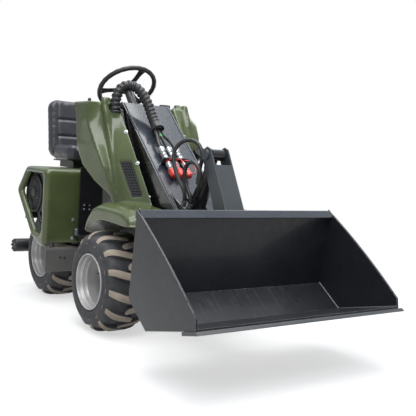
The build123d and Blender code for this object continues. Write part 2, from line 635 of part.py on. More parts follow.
# Quick couplers on a bracket across the boom, with their caps and hoses
COUPLER_S = 440.0
COUPLER_RISE = 96.0
COUPLER_X = (-72.0, -28.0, 18.0)
COUPLER_R = 17.0
COUPLER_BACK = 95.0
COUPLER_L = 160.0
CAP_L = 50.0
BUNDLE_END = (214.0, 108.0)
BUNDLE_X = -40.0
BRACKET_T = 8.0
BRACKET_UP = 26.0
COUPLER_START = COUPLER_S - COUPLER_BACK
with BuildPart() as coupler_bracket:
    web = [on_boom(COUPLER_S, BOOM_UP), on_boom(COUPLER_S + BRACKET_T, BOOM_UP),
           on_boom(COUPLER_S + BRACKET_T, COUPLER_RISE + BRACKET_UP),
           on_boom(COUPLER_S, COUPLER_RISE + BRACKET_UP)]
    plate(COUPLER_X[0] - 30, COUPLER_X[-1] + 30, web)
    for x in COUPLER_X:
        stroke(on_boom(COUPLER_S - 1, COUPLER_RISE), on_boom(COUPLER_S + 9, COUPLER_RISE), 0, BRACKET_T + 2,
               COUPLER_R - 4 + SEAT, x=x, mode=Mode.SUBTRACT)
keep(coupler_bracket.part, "coupler_bracket")

# Sections of a coupler; columns: distances from its rear end, radius
COUPLER = [(0.0, 40.0, COUPLER_R), (40.0, COUPLER_BACK - 1, COUPLER_R - 2),
           (COUPLER_BACK - 1, COUPLER_BACK + BRACKET_T + 1, COUPLER_R - 4),
           (COUPLER_BACK + BRACKET_T + 1, COUPLER_L - 26, COUPLER_R),
           (COUPLER_L - 26, COUPLER_L, COUPLER_R - 3)]
COUPLER_END = COUPLER_START + COUPLER_L
with BuildPart() as quick_couplers:
    for x in COUPLER_X:
        start, end = on_boom(COUPLER_START, COUPLER_RISE), on_boom(COUPLER_END, COUPLER_RISE)
        for d0, d1, radius in COUPLER:
            stroke(start, end, d0, d1, radius, x=x)
keep(quick_couplers.part, "quick_couplers")

with BuildPart() as coupler_caps:
    for x in COUPLER_X:
        start, end = on_boom(COUPLER_END, COUPLER_RISE), on_boom(COUPLER_END + CAP_L, COUPLER_RISE)
        stroke(start, end, 0, CAP_L, COUPLER_R + 2, x=x)
keep(coupler_caps.part, "coupler_caps")

HOSE_R = 9.0
HOSE_DOWN = 4.0
with BuildPart() as coupler_hoses:
    for x in COUPLER_X:
        start_x = BUNDLE_X + (x - COUPLER_X[1]) / 2.3
        hose([in_space(start_x, on_boom(BUNDLE_END[0] + SEAT, BUNDLE_END[1] - HOSE_DOWN)),
              in_space(start_x, on_boom(BUNDLE_END[0] + 38, BUNDLE_END[1] - HOSE_DOWN)),
              in_space(x, on_boom(COUPLER_START - 40, COUPLER_RISE)),
              in_space(x, on_boom(COUPLER_START, COUPLER_RISE))], HOSE_R)
keep(coupler_hoses.part, "coupler_hoses")

# Bundle from the right tower over the pivot to the boom; columns: x, y, height above its gland
BUNDLE_R = 28.0
BUNDLE_TAIL = 70.0
BUNDLE_ROUTE = [(*GLAND_AT, SEAT), (*GLAND_AT, 75.0), (-172.0, 268.0, 137.0), (-108.0, 240.0, 147.0),
                (-60.0, 190.0, 75.0)]
with BuildPart() as hose_bundle:
    hose([in_space(x, (y, GLAND_TOP + up)) for x, y, up in BUNDLE_ROUTE]
         + [in_space(BUNDLE_X, on_boom(BUNDLE_END[0] - back, BUNDLE_END[1])) for back in (BUNDLE_TAIL, 0.0)],
         BUNDLE_R)
keep(hose_bundle.part, "hose_bundle")

PORT_D = (311.0, 231.0)
PORT_R = 9.0
PORT_X = 42.5


def barrel_and_rod(name, base, eye, sizes, ports=()):
    """Write the barrel with base eye and gland, and the rod with its eye, in the machine's middle plane."""
    barrel_r, rod_r, barrel_l, rod_from, base_w, eye_w = sizes
    with BuildPart() as barrel:
        cross_pin(base, EYE_R, -base_w / 2, base_w / 2)
        stroke(base, eye, EYE_R - 8, barrel_l, barrel_r)
        stroke(base, eye, barrel_l - 26, barrel_l, barrel_r + 4)
        for dist in ports:
            cross_pin(along_line(base, eye, dist), PORT_R, -PORT_X, -barrel_r + 4)
        stroke(base, eye, EYE_R + GAP, barrel_l + 1, rod_r + RUN, mode=Mode.SUBTRACT)
        cross_pin(base, PIN_R + RUN, -base_w / 2, base_w / 2, mode=Mode.SUBTRACT)
    keep(barrel.part, f"{name}_barrel")
    with BuildPart() as rod:
        stroke(base, eye, rod_from, span(base, eye), rod_r)
        cross_pin(eye, EYE_R - 4, -eye_w / 2, eye_w / 2)
    keep(rod.part, f"{name}_rod")


# Hydraulic cylinders; columns: barrel and rod radius, barrel length, rod's inner end, base and rod eye width
barrel_and_rod("lift", LIFT_BASE, LIFT_EYE,
               (LIFT_BARREL_R, LIFT_ROD_R, LIFT_BARREL_L, LIFT_ROD_FROM, 76.0, 56.0))
barrel_and_rod("tilt", TILT_BASE, LEVER_TOP,
               (TILT_BARREL_R, TILT_ROD_R, TILT_BARREL_L, TILT_ROD_FROM, 60.0, 70.0), PORT_D)

# Two hoses loop from the boom to the ports on the tilt barrel
# Columns: place on the boom (x, along), rise there, points (x, y, z), last bends (x, y, z) from the port
TILT_HOSES = [
    ((-95.0, 735.0), 70.0,
     [(-104.0, -262.0, 820.0), (-100.0, -232.0, 925.0), (-80.0, -240.0, 990.0), (-61.0, -285.0, 965.0),
      (-55.0, -320.0, 890.0)], [(-52.0, -8.0, 75.0), (-52.0, 0.0, -4.0)]),
    ((-70.0, 757.0), 60.0,
     [(-84.0, -300.0, 800.0), (-88.0, -304.0, 866.0), (-88.0, -340.0, 884.0), (-86.0, -368.0, 828.0),
      (-78.0, -352.0, 768.0)], [(-60.0, -18.0, 26.0), (-52.0, 0.0, -4.0)])]
with BuildPart() as tilt_hoses:
    for (foot_x, foot_s), rise, loop, tail, port_d in [(*row, d) for row, d in zip(TILT_HOSES, PORT_D)]:
        port_y, port_z = along_line(TILT_BASE, LEVER_TOP, port_d)
        foot = [in_space(foot_x, on_boom(foot_s, BOOM_UP + up)) for up in (SEAT, rise)]
        hose(foot + [in_space(x, (y, z)) for x, y, z in loop]
             + [in_space(x, (port_y + y, port_z + z)) for x, y, z in tail], PORT_R)
keep(tilt_hoses.part, "tilt_hoses")

STEER_L = STEER_CYL_REAR - STEER_CYL_FRONT
STEER_EYE_R = 22.0


def along_steer(d0, d1, r, mode=Mode.ADD):
    """Cylinder on the steering cylinder's axis, which runs rearwards."""
    foot = in_space(STEER_CYL_X, (STEER_CYL_FRONT + d0, STEER_CYL_Z))
    with BuildSketch(Plane(origin=foot, x_dir=(1, 0, 0), z_dir=(0, 1, 0))) as disc:
        Circle(r)
    extrude(disc.sketch, amount=d1 - d0, mode=mode)


with BuildPart() as steer_barrel:
    upright_pin(STEER_CYL_X, STEER_CYL_FRONT, STEER_EYE_R, STEER_CYL_Z - 16, STEER_CYL_Z + 16)
    along_steer(STEER_EYE_R - 6, 165, STEER_BARREL_R)
    along_steer(STEER_EYE_R + 14, 166, STEER_ROD_R + RUN, mode=Mode.SUBTRACT)
    upright_pin(STEER_CYL_X, STEER_CYL_FRONT, STEER_BARREL_R - 8 + RUN, STEER_CYL_Z - 17, STEER_CYL_Z + 17,
                mode=Mode.SUBTRACT)
keep(steer_barrel.part, "steer_barrel")

with BuildPart() as steer_rod:
    along_steer(STEER_EYE_R + 58, STEER_L, STEER_ROD_R)
    upright_pin(STEER_CYL_X, STEER_CYL_REAR, STEER_EYE_R - 4, STEER_CYL_Z - 14, STEER_CYL_Z + 14)
keep(steer_rod.part, "steer_rod")

# Bucket and its hitch
BUCKET_LINE = [BUCKET_TOP, BUCKET_KNEE, BUCKET_HEEL, BUCKET_FRONT]
INNER_HALF = BUCKET_W / 2 - SIDE_T
BACK_L = span(BUCKET_KNEE, BUCKET_TOP)
with BuildPart() as bucket_shell:
    plate(-INNER_HALF, INNER_HALF, BUCKET_LINE + beside(BUCKET_LINE, -BUCKET_T)[::-1])
keep(bucket_shell.part, "bucket_shell")

for end, turn in (("left", 1), ("right", -1)):
    with BuildPart() as bucket_side:
        with BuildSketch(side(turn * INNER_HALF)) as outline:
            with BuildLine():
                Polyline(*BUCKET_LINE, BUCKET_NOSE)
                SagittaArc(BUCKET_NOSE, BUCKET_TOP, NOSE_BOW)
            make_face()
        extrude(outline.sketch, amount=turn * SIDE_T)
    keep(bucket_side.part, f"bucket_side_{end}")

with BuildPart() as bucket_edge:
    d0, d1 = FLOOR_L - EDGE_BEHIND, FLOOR_L + EDGE_AHEAD
    plate(-BUCKET_W / 2 - EDGE_OVER, BUCKET_W / 2 + EDGE_OVER,
          [along_line(BUCKET_HEEL, BUCKET_FRONT, d0), along_line(BUCKET_HEEL, BUCKET_FRONT, d1 - 12),
           along_line(BUCKET_HEEL, BUCKET_FRONT, d1, EDGE_T),
           along_line(BUCKET_HEEL, BUCKET_FRONT, d0, EDGE_T)])
keep(bucket_edge.part, "bucket_edge")

with BuildPart() as bucket_rail:
    d0, d1 = BACK_L - RAIL_H, BACK_L
    plate(-BUCKET_W / 2, BUCKET_W / 2,
          [along_line(BUCKET_KNEE, BUCKET_TOP, d0), along_line(BUCKET_KNEE, BUCKET_TOP, d1),
           along_line(BUCKET_KNEE, BUCKET_TOP, d1, -RAIL_T),
           along_line(BUCKET_KNEE, BUCKET_TOP, d0, -RAIL_T)])
keep(bucket_rail.part, "bucket_rail")

HITCH_T = 12.0
HITCH_HALF = 200.0
HITCH_D0, HITCH_D1 = 20.0, 310.0
HITCH_EAR_IN = WALL_OUT + GAP
with BuildPart() as hitch_plate:
    plate(-HITCH_HALF, HITCH_HALF,
          [along_line(BUCKET_KNEE, BUCKET_TOP, HITCH_D0), along_line(BUCKET_KNEE, BUCKET_TOP, HITCH_D1),
           along_line(BUCKET_KNEE, BUCKET_TOP, HITCH_D1, -HITCH_T),
           along_line(BUCKET_KNEE, BUCKET_TOP, HITCH_D0, -HITCH_T)])
    ear = [along_line(BUCKET_KNEE, BUCKET_TOP, HITCH_D0 + 5, -HITCH_T),
           along_line(BUCKET_KNEE, BUCKET_TOP, 170, -HITCH_T),
           (HITCH_PIVOT[0] + 22, HITCH_PIVOT[1] + 40), (HITCH_PIVOT[0] + 40, HITCH_PIVOT[1] + 12),
           (HITCH_PIVOT[0] + 36, HITCH_PIVOT[1] - 26), (HITCH_PIVOT[0] + 8, HITCH_PIVOT[1] - 42)]
    for turn in (1, -1):
        plate(turn * HITCH_EAR_IN, turn * (HITCH_EAR_IN + FRAME_T), ear)
    cross_pin(HITCH_PIVOT, PIN_R + SEAT, -HITCH_HALF, HITCH_HALF, mode=Mode.SUBTRACT)
keep(hitch_plate.part, "hitch_plate")

with BuildPart() as hitch_pin:
    cross_pin(HITCH_PIVOT, PIN_R, -HITCH_EAR_IN - FRAME_T, HITCH_EAR_IN + FRAME_T)
    for turn in (1, -1):
        cross_pin(HITCH_PIVOT, PIN_R + 9, turn * (HITCH_EAR_IN + FRAME_T),
                  turn * (HITCH_EAR_IN + FRAME_T + 8))
keep(hitch_pin.part, "hitch_pin")

LEVER_HALF = LEVER_W / 2
with BuildPart() as hitch_upright:
    cheek = [along_line(LEVER_TOP, LEVER_FOOT, -34, 18), along_line(LEVER_TOP, LEVER_FOOT, -34, -18),
             along_line(LEVER_TOP, LEVER_FOOT, -14, -36), along_line(LEVER_TOP, LEVER_FOOT, 330, -44),
             along_line(BUCKET_KNEE, BUCKET_TOP, HITCH_D1 - 8, -HITCH_T),
             along_line(BUCKET_KNEE, BUCKET_TOP, 130, -HITCH_T), along_line(LEVER_TOP, LEVER_FOOT, 330, 44),
             along_line(LEVER_TOP, LEVER_FOOT, -14, 36)]
    for turn in (1, -1):
        plate(turn * (LEVER_HALF - LEVER_T), turn * LEVER_HALF, cheek)
        cross_pin(LEVER_TOP, 24, turn * LEVER_HALF, turn * (LEVER_HALF + 10))
    face = [along_line(LEVER_TOP, LEVER_FOOT, 70, -38), along_line(LEVER_TOP, LEVER_FOOT, 328, -43),
            along_line(LEVER_TOP, LEVER_FOOT, 328, -35), along_line(LEVER_TOP, LEVER_FOOT, 70, -30)]
    plate(LEVER_T - LEVER_HALF, LEVER_HALF - LEVER_T, face)
keep(hitch_upright.part, "hitch_upright")

# Rear frame: knuckle, neck, two rails and a rear plate with a towing eye
NECK_HALF = 40.0
NECK_Z0, NECK_Z1 = 300.0, 380.0
REAR_CROSS_Y0, REAR_CROSS_Y1 = 560.0, 600.0
TOW_R = 15.0
TOW_Z = 320.0
with BuildPart() as rear_chassis:
    upright_pin(0, STEER_Y, KNUCKLE_R, KNUCKLE_Z0, KNUCKLE_Z1)
    block(-NECK_HALF, NECK_HALF, STEER_Y, REAR_CROSS_Y0, NECK_Z0, NECK_Z1)
    block(-RAIL_OUT, RAIL_OUT, REAR_CROSS_Y0, REAR_CROSS_Y1, FRAME_Z, RAIL_TOP)
    for turn in (1, -1):
        block(min(turn * RAIL_IN, turn * RAIL_OUT), max(turn * RAIL_IN, turn * RAIL_OUT),
              REAR_CROSS_Y1, REAR_END, FRAME_Z, RAIL_TOP)
    block(-RAIL_OUT, RAIL_OUT, REAR_END, REAR_END + REAR_PLATE_T, 215, 430)
    upright_pin(0, STEER_Y, KNUCKLE_PIN_R + RUN, KNUCKLE_Z0, KNUCKLE_Z1, mode=Mode.SUBTRACT)
    with BuildSketch(across(REAR_END + REAR_PLATE_T)) as hole:
        with Locations((0, TOW_Z)):
            Circle(TOW_R)
    extrude(hole.sketch, amount=REAR_PLATE_T, mode=Mode.SUBTRACT)
keep(rear_chassis.part, "rear_chassis")

STEER_EAR_Z = 22.0
with BuildPart() as bulkhead:
    panel(BULKHEAD_Y, BULKHEAD_Y + BULKHEAD_T,
          [(-BULKHEAD_HALF, RAIL_TOP), (BULKHEAD_HALF, RAIL_TOP), (BULKHEAD_HALF, COVER_TOP + 12),
           (-BULKHEAD_HALF, COVER_TOP + 12)], corner=10)
    for z0 in (STEER_CYL_Z - STEER_EAR_Z - 8, STEER_CYL_Z + STEER_EAR_Z):
        slab(z0, z0 + 8, [(STEER_CYL_X - 26, BULKHEAD_Y), (STEER_CYL_X - 20, STEER_CYL_REAR - 20),
                          (STEER_CYL_X + 20, STEER_CYL_REAR - 20), (STEER_CYL_X + 26, BULKHEAD_Y)])
keep(bulkhead.part, "bulkhead")

FOOT_Y0 = 535.0
FOOT_IN, FOOT_OUT = 125.0, 330.0
with BuildPart() as foot_plates:
    for turn in (1, -1):
        low, high = sorted((turn * FOOT_IN, turn * FOOT_OUT))
        block(low, high, FOOT_Y0, BULKHEAD_Y, RAIL_TOP + 4, RAIL_TOP + 10)
        block(low, high, BULKHEAD_Y - 6, BULKHEAD_Y, RAIL_TOP + 10, RAIL_TOP + 50)
keep(foot_plates.part, "foot_plates")

SKIRT_Z0 = 190.0
SKIRT_Z1 = COVER_BOTTOM + COVER_CORNER + 25.0
with BuildPart() as side_skirts:
    for turn in (1, -1):
        low, high = sorted((turn * (BULKHEAD_HALF + 10), turn * (COVER_X - 15)))
        panel(BULKHEAD_Y, BULKHEAD_Y + BULKHEAD_T,
              [(low, SKIRT_Z0), (high, SKIRT_Z0), (high, SKIRT_Z1), (low, SKIRT_Z1)])
keep(side_skirts.part, "side_skirts")

# Engine cover: a hollow hood with a large window each side
COVER_L = COVER_REAR - COVER_FRONT
COVER_H = COVER_TOP - COVER_BOTTOM
COVER = [(0.0, 0.0), (0.0, 1.0), (0.68, 1.0), (1.0, 0.66), (0.413, 0.078), (0.162, 0.0)]
WINDOW = [(0.1, 0.2), (0.1, 0.88), (0.145, 0.93), (0.66, 0.93), (0.91, 0.66), (0.385, 0.15), (0.15, 0.15)]
WINDOW_TAPER = 20.0


def on_cover(shares):
    """Points (y, z) from shares of the cover's length and height."""
    return [(COVER_FRONT + along * COVER_L, COVER_BOTTOM + up * COVER_H) for along, up in shares]


INNER_TOP, INNER_TAIL = COVER_TOP - COVER_T, COVER_REAR - COVER_T - 2
COVER_IN = [(COVER_FRONT + COVER_T, COVER_BOTTOM - 1), (COVER_FRONT + COVER_T, INNER_TOP),
            (COVER_FRONT + 0.665 * COVER_L, INNER_TOP), (INNER_TAIL, COVER_BOTTOM + 0.66 * COVER_H),
            (INNER_TAIL, COVER_BOTTOM - 1)]
with BuildPart() as engine_cover:
    plate(-COVER_X, COVER_X, on_cover(COVER), corner=COVER_CORNER)
    for end in (0, -1):
        fillet(engine_cover.faces().sort_by(Axis.X)[end].edges(), COVER_ROUND)
    plate(COVER_SIDE - COVER_X, COVER_X - COVER_SIDE, COVER_IN, mode=Mode.SUBTRACT)
    for turn in (1, -1):
        with BuildSketch(side(turn * COVER_X)) as window:
            with BuildLine():
                Polyline(*on_cover(WINDOW), close=True)
            make_face()
            fillet(window.vertices(), 16)
        extrude(window.sketch, amount=-turn * (COVER_SIDE + 1), taper=WINDOW_TAPER, mode=Mode.SUBTRACT)
    block(20 - BULKHEAD_HALF, BULKHEAD_HALF - 20, COVER_FRONT - 1, COVER_FRONT + COVER_T + 1,
          COVER_BOTTOM - 1, COVER_TOP - COVER_CORNER, mode=Mode.SUBTRACT)
keep(engine_cover.part, "engine_cover")

ENGINE_LOW_HALF = 70.0
ENGINE_STEP = AXLE_Z + TYRE_R + 12.0
with BuildPart() as engine_block:
    for half, z0, z1 in ((ENGINE_LOW_HALF, RAIL_TOP, ENGINE_STEP),
                         (ENGINE_HALF, ENGINE_STEP, COVER_TOP - 100)):
        block(-half, half, COVER_FRONT + 40, COVER_REAR - 90, z0, z1)
keep(engine_block.part, "engine_block")

# Recoil housing of the fan with rings on its face, and the pipe below it
FAN_L = FAN_OUT - ENGINE_HALF
FAN_RINGS = (92.0, 76.0, 60.0, 44.0)
RING_W = 8.0
RING_DEEP = 5.0
HUB_FACE = 26.0
PIPE_R = 12.0
PIPE_X = FAN_OUT - 18.0
FAN_PROFILE = [(0.0, 0.0), (0.0, FAN_R), (FAN_L - 14, FAN_R), (FAN_L, FAN_R - 8)]
for radius in FAN_RINGS:
    FAN_PROFILE += [(FAN_L, radius), (FAN_L - RING_DEEP, radius), (FAN_L - RING_DEEP, radius - RING_W),
                    (FAN_L, radius - RING_W)]
FAN_PROFILE += [(FAN_L, HUB_FACE), (FAN_L + 8, HUB_FACE - 4), (FAN_L + 8, 0.0)]
with BuildPart() as fan_housing:
    spun(FAN_PROFILE, -ENGINE_HALF, *FAN_AT, -1)
    bar(in_space(-PIPE_X, (FAN_AT[0] - 30, FAN_AT[1] - 70)),
        in_space(-PIPE_X, (FAN_AT[0] - 80, FAN_AT[1] - 175)), PIPE_R)
keep(fan_housing.part, "fan_housing")

MUFFLER_R = 60.0
with BuildPart() as muffler:
    cross_pin(FAN_AT, 26, ENGINE_HALF, ENGINE_HALF + 90 + MUFFLER_R)
    with BuildSketch(across(FAN_AT[0] + 80)) as disc:
        with Locations((ENGINE_HALF + 90 + MUFFLER_R, FAN_AT[1])):
            Circle(MUFFLER_R)
    extrude(disc.sketch, amount=260)
keep(muffler.part, "muffler")

# Seat on a low base over the engine cover
SEAT_Z = COVER_TOP + SEAT_BASE_H
with BuildPart() as seat_base:
    block(-170, 170, SEAT_FRONT + 60, SEAT_BACK - 20, COVER_TOP, SEAT_Z - 8)
    block(-190, 190, SEAT_FRONT + 30, SEAT_BACK + 40, SEAT_Z - 8, SEAT_Z)
keep(seat_base.part, "seat_base")

SEAT_ROUND = 50.0
BACK_ROUND = 60.0
EDGE_ROUND = 18.0
BACK_H = SEAT_TOP - SEAT_Z
with BuildPart() as seat_cushion:
    slab(SEAT_Z + SEAT, SEAT_Z + CUSHION_H,
         [(-SEAT_HALF, SEAT_FRONT), (SEAT_HALF, SEAT_FRONT), (SEAT_HALF, SEAT_BACK - SEAT),
          (-SEAT_HALF, SEAT_BACK - SEAT)], corner=SEAT_ROUND)
    fillet(seat_cushion.faces().sort_by(Axis.Z)[-1].edges(), EDGE_ROUND)
keep(seat_cushion.part, "seat_cushion")

with BuildPart() as seat_back:
    lean = hypot(BACK_H, BACK_LEAN)
    foot = in_space(0, (SEAT_BACK + SEAT - EDGE_ROUND * BACK_LEAN / BACK_H,
                        SEAT_Z + SEAT + BACK_T * BACK_LEAN / lean))
    back_plane = Plane(origin=foot, x_dir=(1, 0, 0), z_dir=(0, -BACK_H, BACK_LEAN))
    prism(back_plane, [(-SEAT_HALF, 0), (SEAT_HALF, 0), (SEAT_HALF, lean), (-SEAT_HALF, lean)], -BACK_T,
          corner=BACK_ROUND)
    fillet(seat_back.faces().sort_by(Axis((0, 0, 0), (0, -BACK_H, BACK_LEAN)))[-1].edges(), EDGE_ROUND)
keep(seat_back.part, "seat_back")

# Spin-on filter on an arm from the rear plate, with tabs round its end
FILTER_HEAD = 50.0
ARM_HALF = 20.0
TAB_L, TAB_W, TAB_H = 8.0, 14.0, 9.0
with BuildPart() as oil_filter:
    for x0, x1, y0 in ((-RAIL_OUT, FILTER_HEAD - RAIL_OUT, REAR_END + REAR_PLATE_T),
                       (-FILTER_X, -RAIL_OUT, FILTER_AT[0] - ARM_HALF)):
        block(x0, x1, y0, FILTER_AT[0] + ARM_HALF, FILTER_AT[1] - ARM_HALF, FILTER_AT[1] + ARM_HALF)
    cross_pin(FILTER_AT, FILTER_R, -FILTER_X - FILTER_L, -FILTER_X)
    with BuildSketch(side(-FILTER_X - FILTER_L)) as tabs:
        with Locations(FILTER_AT):
            with PolarLocations(FILTER_R - TAB_H, FILTER_TABS):
                Rectangle(TAB_H, TAB_W)
    extrude(tabs.sketch, amount=-TAB_L)
keep(oil_filter.part, "oil_filter")
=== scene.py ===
"""Looks of the mini wheel loader: finishes, tyres, seat, hoses, fasteners, light and camera.

Lengths are in millimetres measured like the part: x to the machine's left, y back from the
front axle, z up from the ground.  at() turns such a place into the frame's metres.
"""

import json
from math import cos, exp, pi, radians, sin

import bmesh
import bpy
from mathutils import Matrix, Vector

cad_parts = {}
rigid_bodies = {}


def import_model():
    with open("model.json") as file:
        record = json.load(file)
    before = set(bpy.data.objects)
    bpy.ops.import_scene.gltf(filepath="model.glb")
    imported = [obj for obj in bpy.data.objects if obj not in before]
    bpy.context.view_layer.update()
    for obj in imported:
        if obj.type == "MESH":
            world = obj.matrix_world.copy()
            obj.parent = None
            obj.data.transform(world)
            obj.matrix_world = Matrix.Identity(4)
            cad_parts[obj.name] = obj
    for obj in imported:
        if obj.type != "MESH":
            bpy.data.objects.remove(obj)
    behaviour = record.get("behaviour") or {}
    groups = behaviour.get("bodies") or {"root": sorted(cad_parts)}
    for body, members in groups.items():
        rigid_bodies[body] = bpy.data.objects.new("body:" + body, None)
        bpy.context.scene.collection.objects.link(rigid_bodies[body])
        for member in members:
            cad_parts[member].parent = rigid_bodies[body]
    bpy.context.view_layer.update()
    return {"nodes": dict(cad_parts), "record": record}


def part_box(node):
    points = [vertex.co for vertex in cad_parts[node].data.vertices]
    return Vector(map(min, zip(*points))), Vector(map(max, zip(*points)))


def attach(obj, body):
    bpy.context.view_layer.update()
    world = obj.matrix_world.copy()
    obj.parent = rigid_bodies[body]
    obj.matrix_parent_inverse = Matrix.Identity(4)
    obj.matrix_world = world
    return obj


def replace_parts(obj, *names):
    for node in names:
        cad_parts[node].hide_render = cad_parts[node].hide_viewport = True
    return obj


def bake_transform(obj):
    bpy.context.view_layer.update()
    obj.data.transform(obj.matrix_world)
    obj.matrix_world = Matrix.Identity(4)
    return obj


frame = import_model()
nodes = frame["nodes"]
scene = bpy.context.scene
scene.view_settings.view_transform = "Standard"

low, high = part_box("tyre_front_left")
AXLE_Y = (low.y + high.y) / 2 * 1000


def at(x, y, z):
    """Place in the frame, in metres."""
    return Vector((x, y + AXLE_Y, z)) / 1000


# Camera, fitted to the photograph's bucket and front wheel
CAMERA_AT = at(-1968, -3119, 915)
YAW, PITCH, ROLL = radians(35.5), radians(-4.3), radians(3.5)
FOCAL_PX, FRAME_PX = 695.0, 416.0
forward = Vector((sin(YAW) * cos(PITCH), cos(YAW) * cos(PITCH), sin(PITCH)))
flat_right = Vector((cos(YAW), -sin(YAW), 0))
flat_up = flat_right.cross(forward)
right = cos(ROLL) * flat_right + sin(ROLL) * flat_up
up = cos(ROLL) * flat_up - sin(ROLL) * flat_right
camera = bpy.data.objects.new("camera", bpy.data.cameras.new("camera"))
camera.data.sensor_width = 36.0
camera.data.lens = 36.0 * FOCAL_PX / FRAME_PX
camera.matrix_world = Matrix.Translation(CAMERA_AT) @ Matrix((right, up, -forward)).transposed().to_4x4()
scene.collection.objects.link(camera)
scene.camera = camera


class Nodes:
    """Short way to write one material's or world's node tree."""

    def __init__(self, owner):
        owner.use_nodes = True
        self.tree = owner.node_tree
        self.tree.nodes.clear()

    def add(self, kind, **values):
        """New node; a value that is a socket is linked, others are set on the input or the node."""
        node = self.tree.nodes.new("ShaderNode" + kind)
        for key, value in values.items():
            if key.startswith("_"):
                setattr(node, key[1:], value)
                continue
            key = key.replace("_", " ")
            socket = node.inputs[int(key[1:])] if key[0] == "i" and key[1:].isdigit() else node.inputs[key]
            if isinstance(value, bpy.types.NodeSocket):
                self.tree.links.new(value, socket)
            else:
                socket.default_value = value
        return node

    def place(self, scale=1.0):
        """Coordinates that stay on the piece, in metres times scale."""
        where = self.add("TexCoord").outputs["Object"]
        return self.add("Mapping", Vector=where, Scale=(scale,) * 3).outputs["Vector"]

    def noise(self, scale, detail=3.0, rough=0.55, where=None):
        where = where or self.place()
        return self.add("TexNoise", Vector=where, Scale=scale, Detail=detail, Roughness=rough).outputs["Fac"]

    def ramp(self, value, *stops):
        """Colour ramp; stops are (position, grey or colour)."""
        node = self.add("ValToRGB", Fac=value)
        points = node.color_ramp.elements
        while len(points) < len(stops):
            points.new(0.5)
        for point, (place, colour) in zip(points, stops):
            point.position = place
            point.color = (colour,) * 3 + (1,) if isinstance(colour, float) else (*colour, 1)
        return node.outputs["Color"]

    def mix(self, share, a, b):
        return self.add("Mix", _data_type="RGBA", i0=share, i6=a if hasattr(a, "type") else (*a, 1),
                        i7=b if hasattr(b, "type") else (*b, 1)).outputs[2]

    def math(self, way, a, b=0.5):
        return self.add("Math", _operation=way, i0=a, i1=b).outputs[0]

    def bump(self, height, strength, depth=0.001, normal=None):
        more = {"Normal": normal} if normal else {}
        return self.add("Bump", Height=height, Strength=strength, Distance=depth, **more).outputs["Normal"]

    def edges(self, radius):
        """Share that is high along the edges, for rubbed paint and partly a painted edge highlight, broken up by noise.
        """
        bevel = self.add("Bevel", _samples=4, Radius=radius).outputs["Normal"]
        flat = self.add("NewGeometry").outputs["Normal"]
        same = self.add("VectorMath", _operation="DOT_PRODUCT", i0=bevel, i1=flat).outputs["Value"]
        edge_share = self.math("MULTIPLY", self.math("SUBTRACT", 1.0, same), 9.0)
        return self.math("MULTIPLY", edge_share, self.ramp(self.noise(90.0), (0.38, 0.0), (0.62, 1.0)))

    def finish(self, **values):
        shader = self.add("BsdfPrincipled", **values)
        self.add("OutputMaterial", Surface=shader.outputs[0])


def material(name):
    mat = bpy.data.materials.new(name)
    return mat, Nodes(mat)


def painted(name, colour, rough, coat=0.0, metal=0.0, wear_and_edge_sheen=None, edge=0.0015, orange_peel=0.06, dust=0.0,
            scuff=0.0, sides=None, shine=0.5):
    """Paint or gel coat with mottling, orange peel, lighter edges (rubbed paint and partly a painted edge highlight),
    scuffs, dust low down and painted shade that darkens the side walls.
    """
    mat, n = material(name)
    tone = n.noise(7.0, 4.0)
    dark, light = (tuple(c * f for c in colour) for f in (0.86, 1.12))
    base = n.mix(n.ramp(tone, (0.35, 0.0), (0.65, 1.0)), dark, light)
    if dust:
        height = n.add("SeparateXYZ", Vector=n.place()).outputs["Z"]
        low_down = n.add("MapRange", Value=height, i1=0.75, i2=0.05, i3=0.0, i4=dust).outputs[0]
        base = n.mix(n.math("MULTIPLY", low_down, n.noise(22.0, 6.0)), base, (0.16, 0.13, 0.10))
    # Painted shade: faces that look to the side are darkened to the sides colour.
    if sides:
        across = n.add("SeparateXYZ", Vector=n.add("TexCoord").outputs["Normal"]).outputs["X"]
        base = n.mix(n.ramp(n.math("ABSOLUTE", across), (0.6, 0.0), (0.8, 1.0)), base, sides)
    if scuff:
        where = n.add("Mapping", Vector=n.add("TexCoord").outputs["Object"], Scale=(70, 5, 9)).outputs[0]
        level = n.add("SeparateXYZ", Vector=n.add("TexCoord").outputs["Normal"]).outputs["Z"]
        streaks = n.ramp(n.noise(1.0, 7.0, 0.62, where), (0.54, 0.0), (0.74, scuff))
        base = n.mix(n.math("MULTIPLY", streaks, n.ramp(level, (0.4, 0.0), (0.8, 1.0))), base, wear_and_edge_sheen)
    # Lighter edges: rubbed paint, and partly a painted edge highlight.
    if wear_and_edge_sheen:
        base = n.mix(n.edges(edge), base, wear_and_edge_sheen)
    gloss = n.add("MapRange", Value=n.noise(35.0, 5.0), i1=0.3, i2=0.7, i3=rough * 0.82, i4=rough * 1.18).outputs[0]
    n.finish(Base_Color=base, Roughness=gloss, Metallic=metal, Coat_Weight=coat, Coat_Roughness=0.08,
             Specular_IOR_Level=shine, Normal=n.bump(n.noise(420.0, 2.0), orange_peel))
    return mat


def rubbery(name, colour, rough, grain=500.0, strength=0.25, dust=0.25):
    """Rubber, vinyl or moulded plastic with a fine grain and a bloom of dust."""
    mat, n = material(name)
    bloom = n.ramp(n.noise(14.0, 6.0), (0.45, 0.0), (0.75, dust))
    base = n.mix(bloom, colour, tuple(c * 2.2 + 0.02 for c in colour))
    gloss = n.add("MapRange", Value=n.noise(40.0), i1=0.3, i2=0.7, i3=rough * 0.85, i4=rough * 1.15).outputs[0]
    n.finish(Base_Color=base, Roughness=gloss, Normal=n.bump(n.noise(grain, 2.0), strength, 0.0006))
    return mat


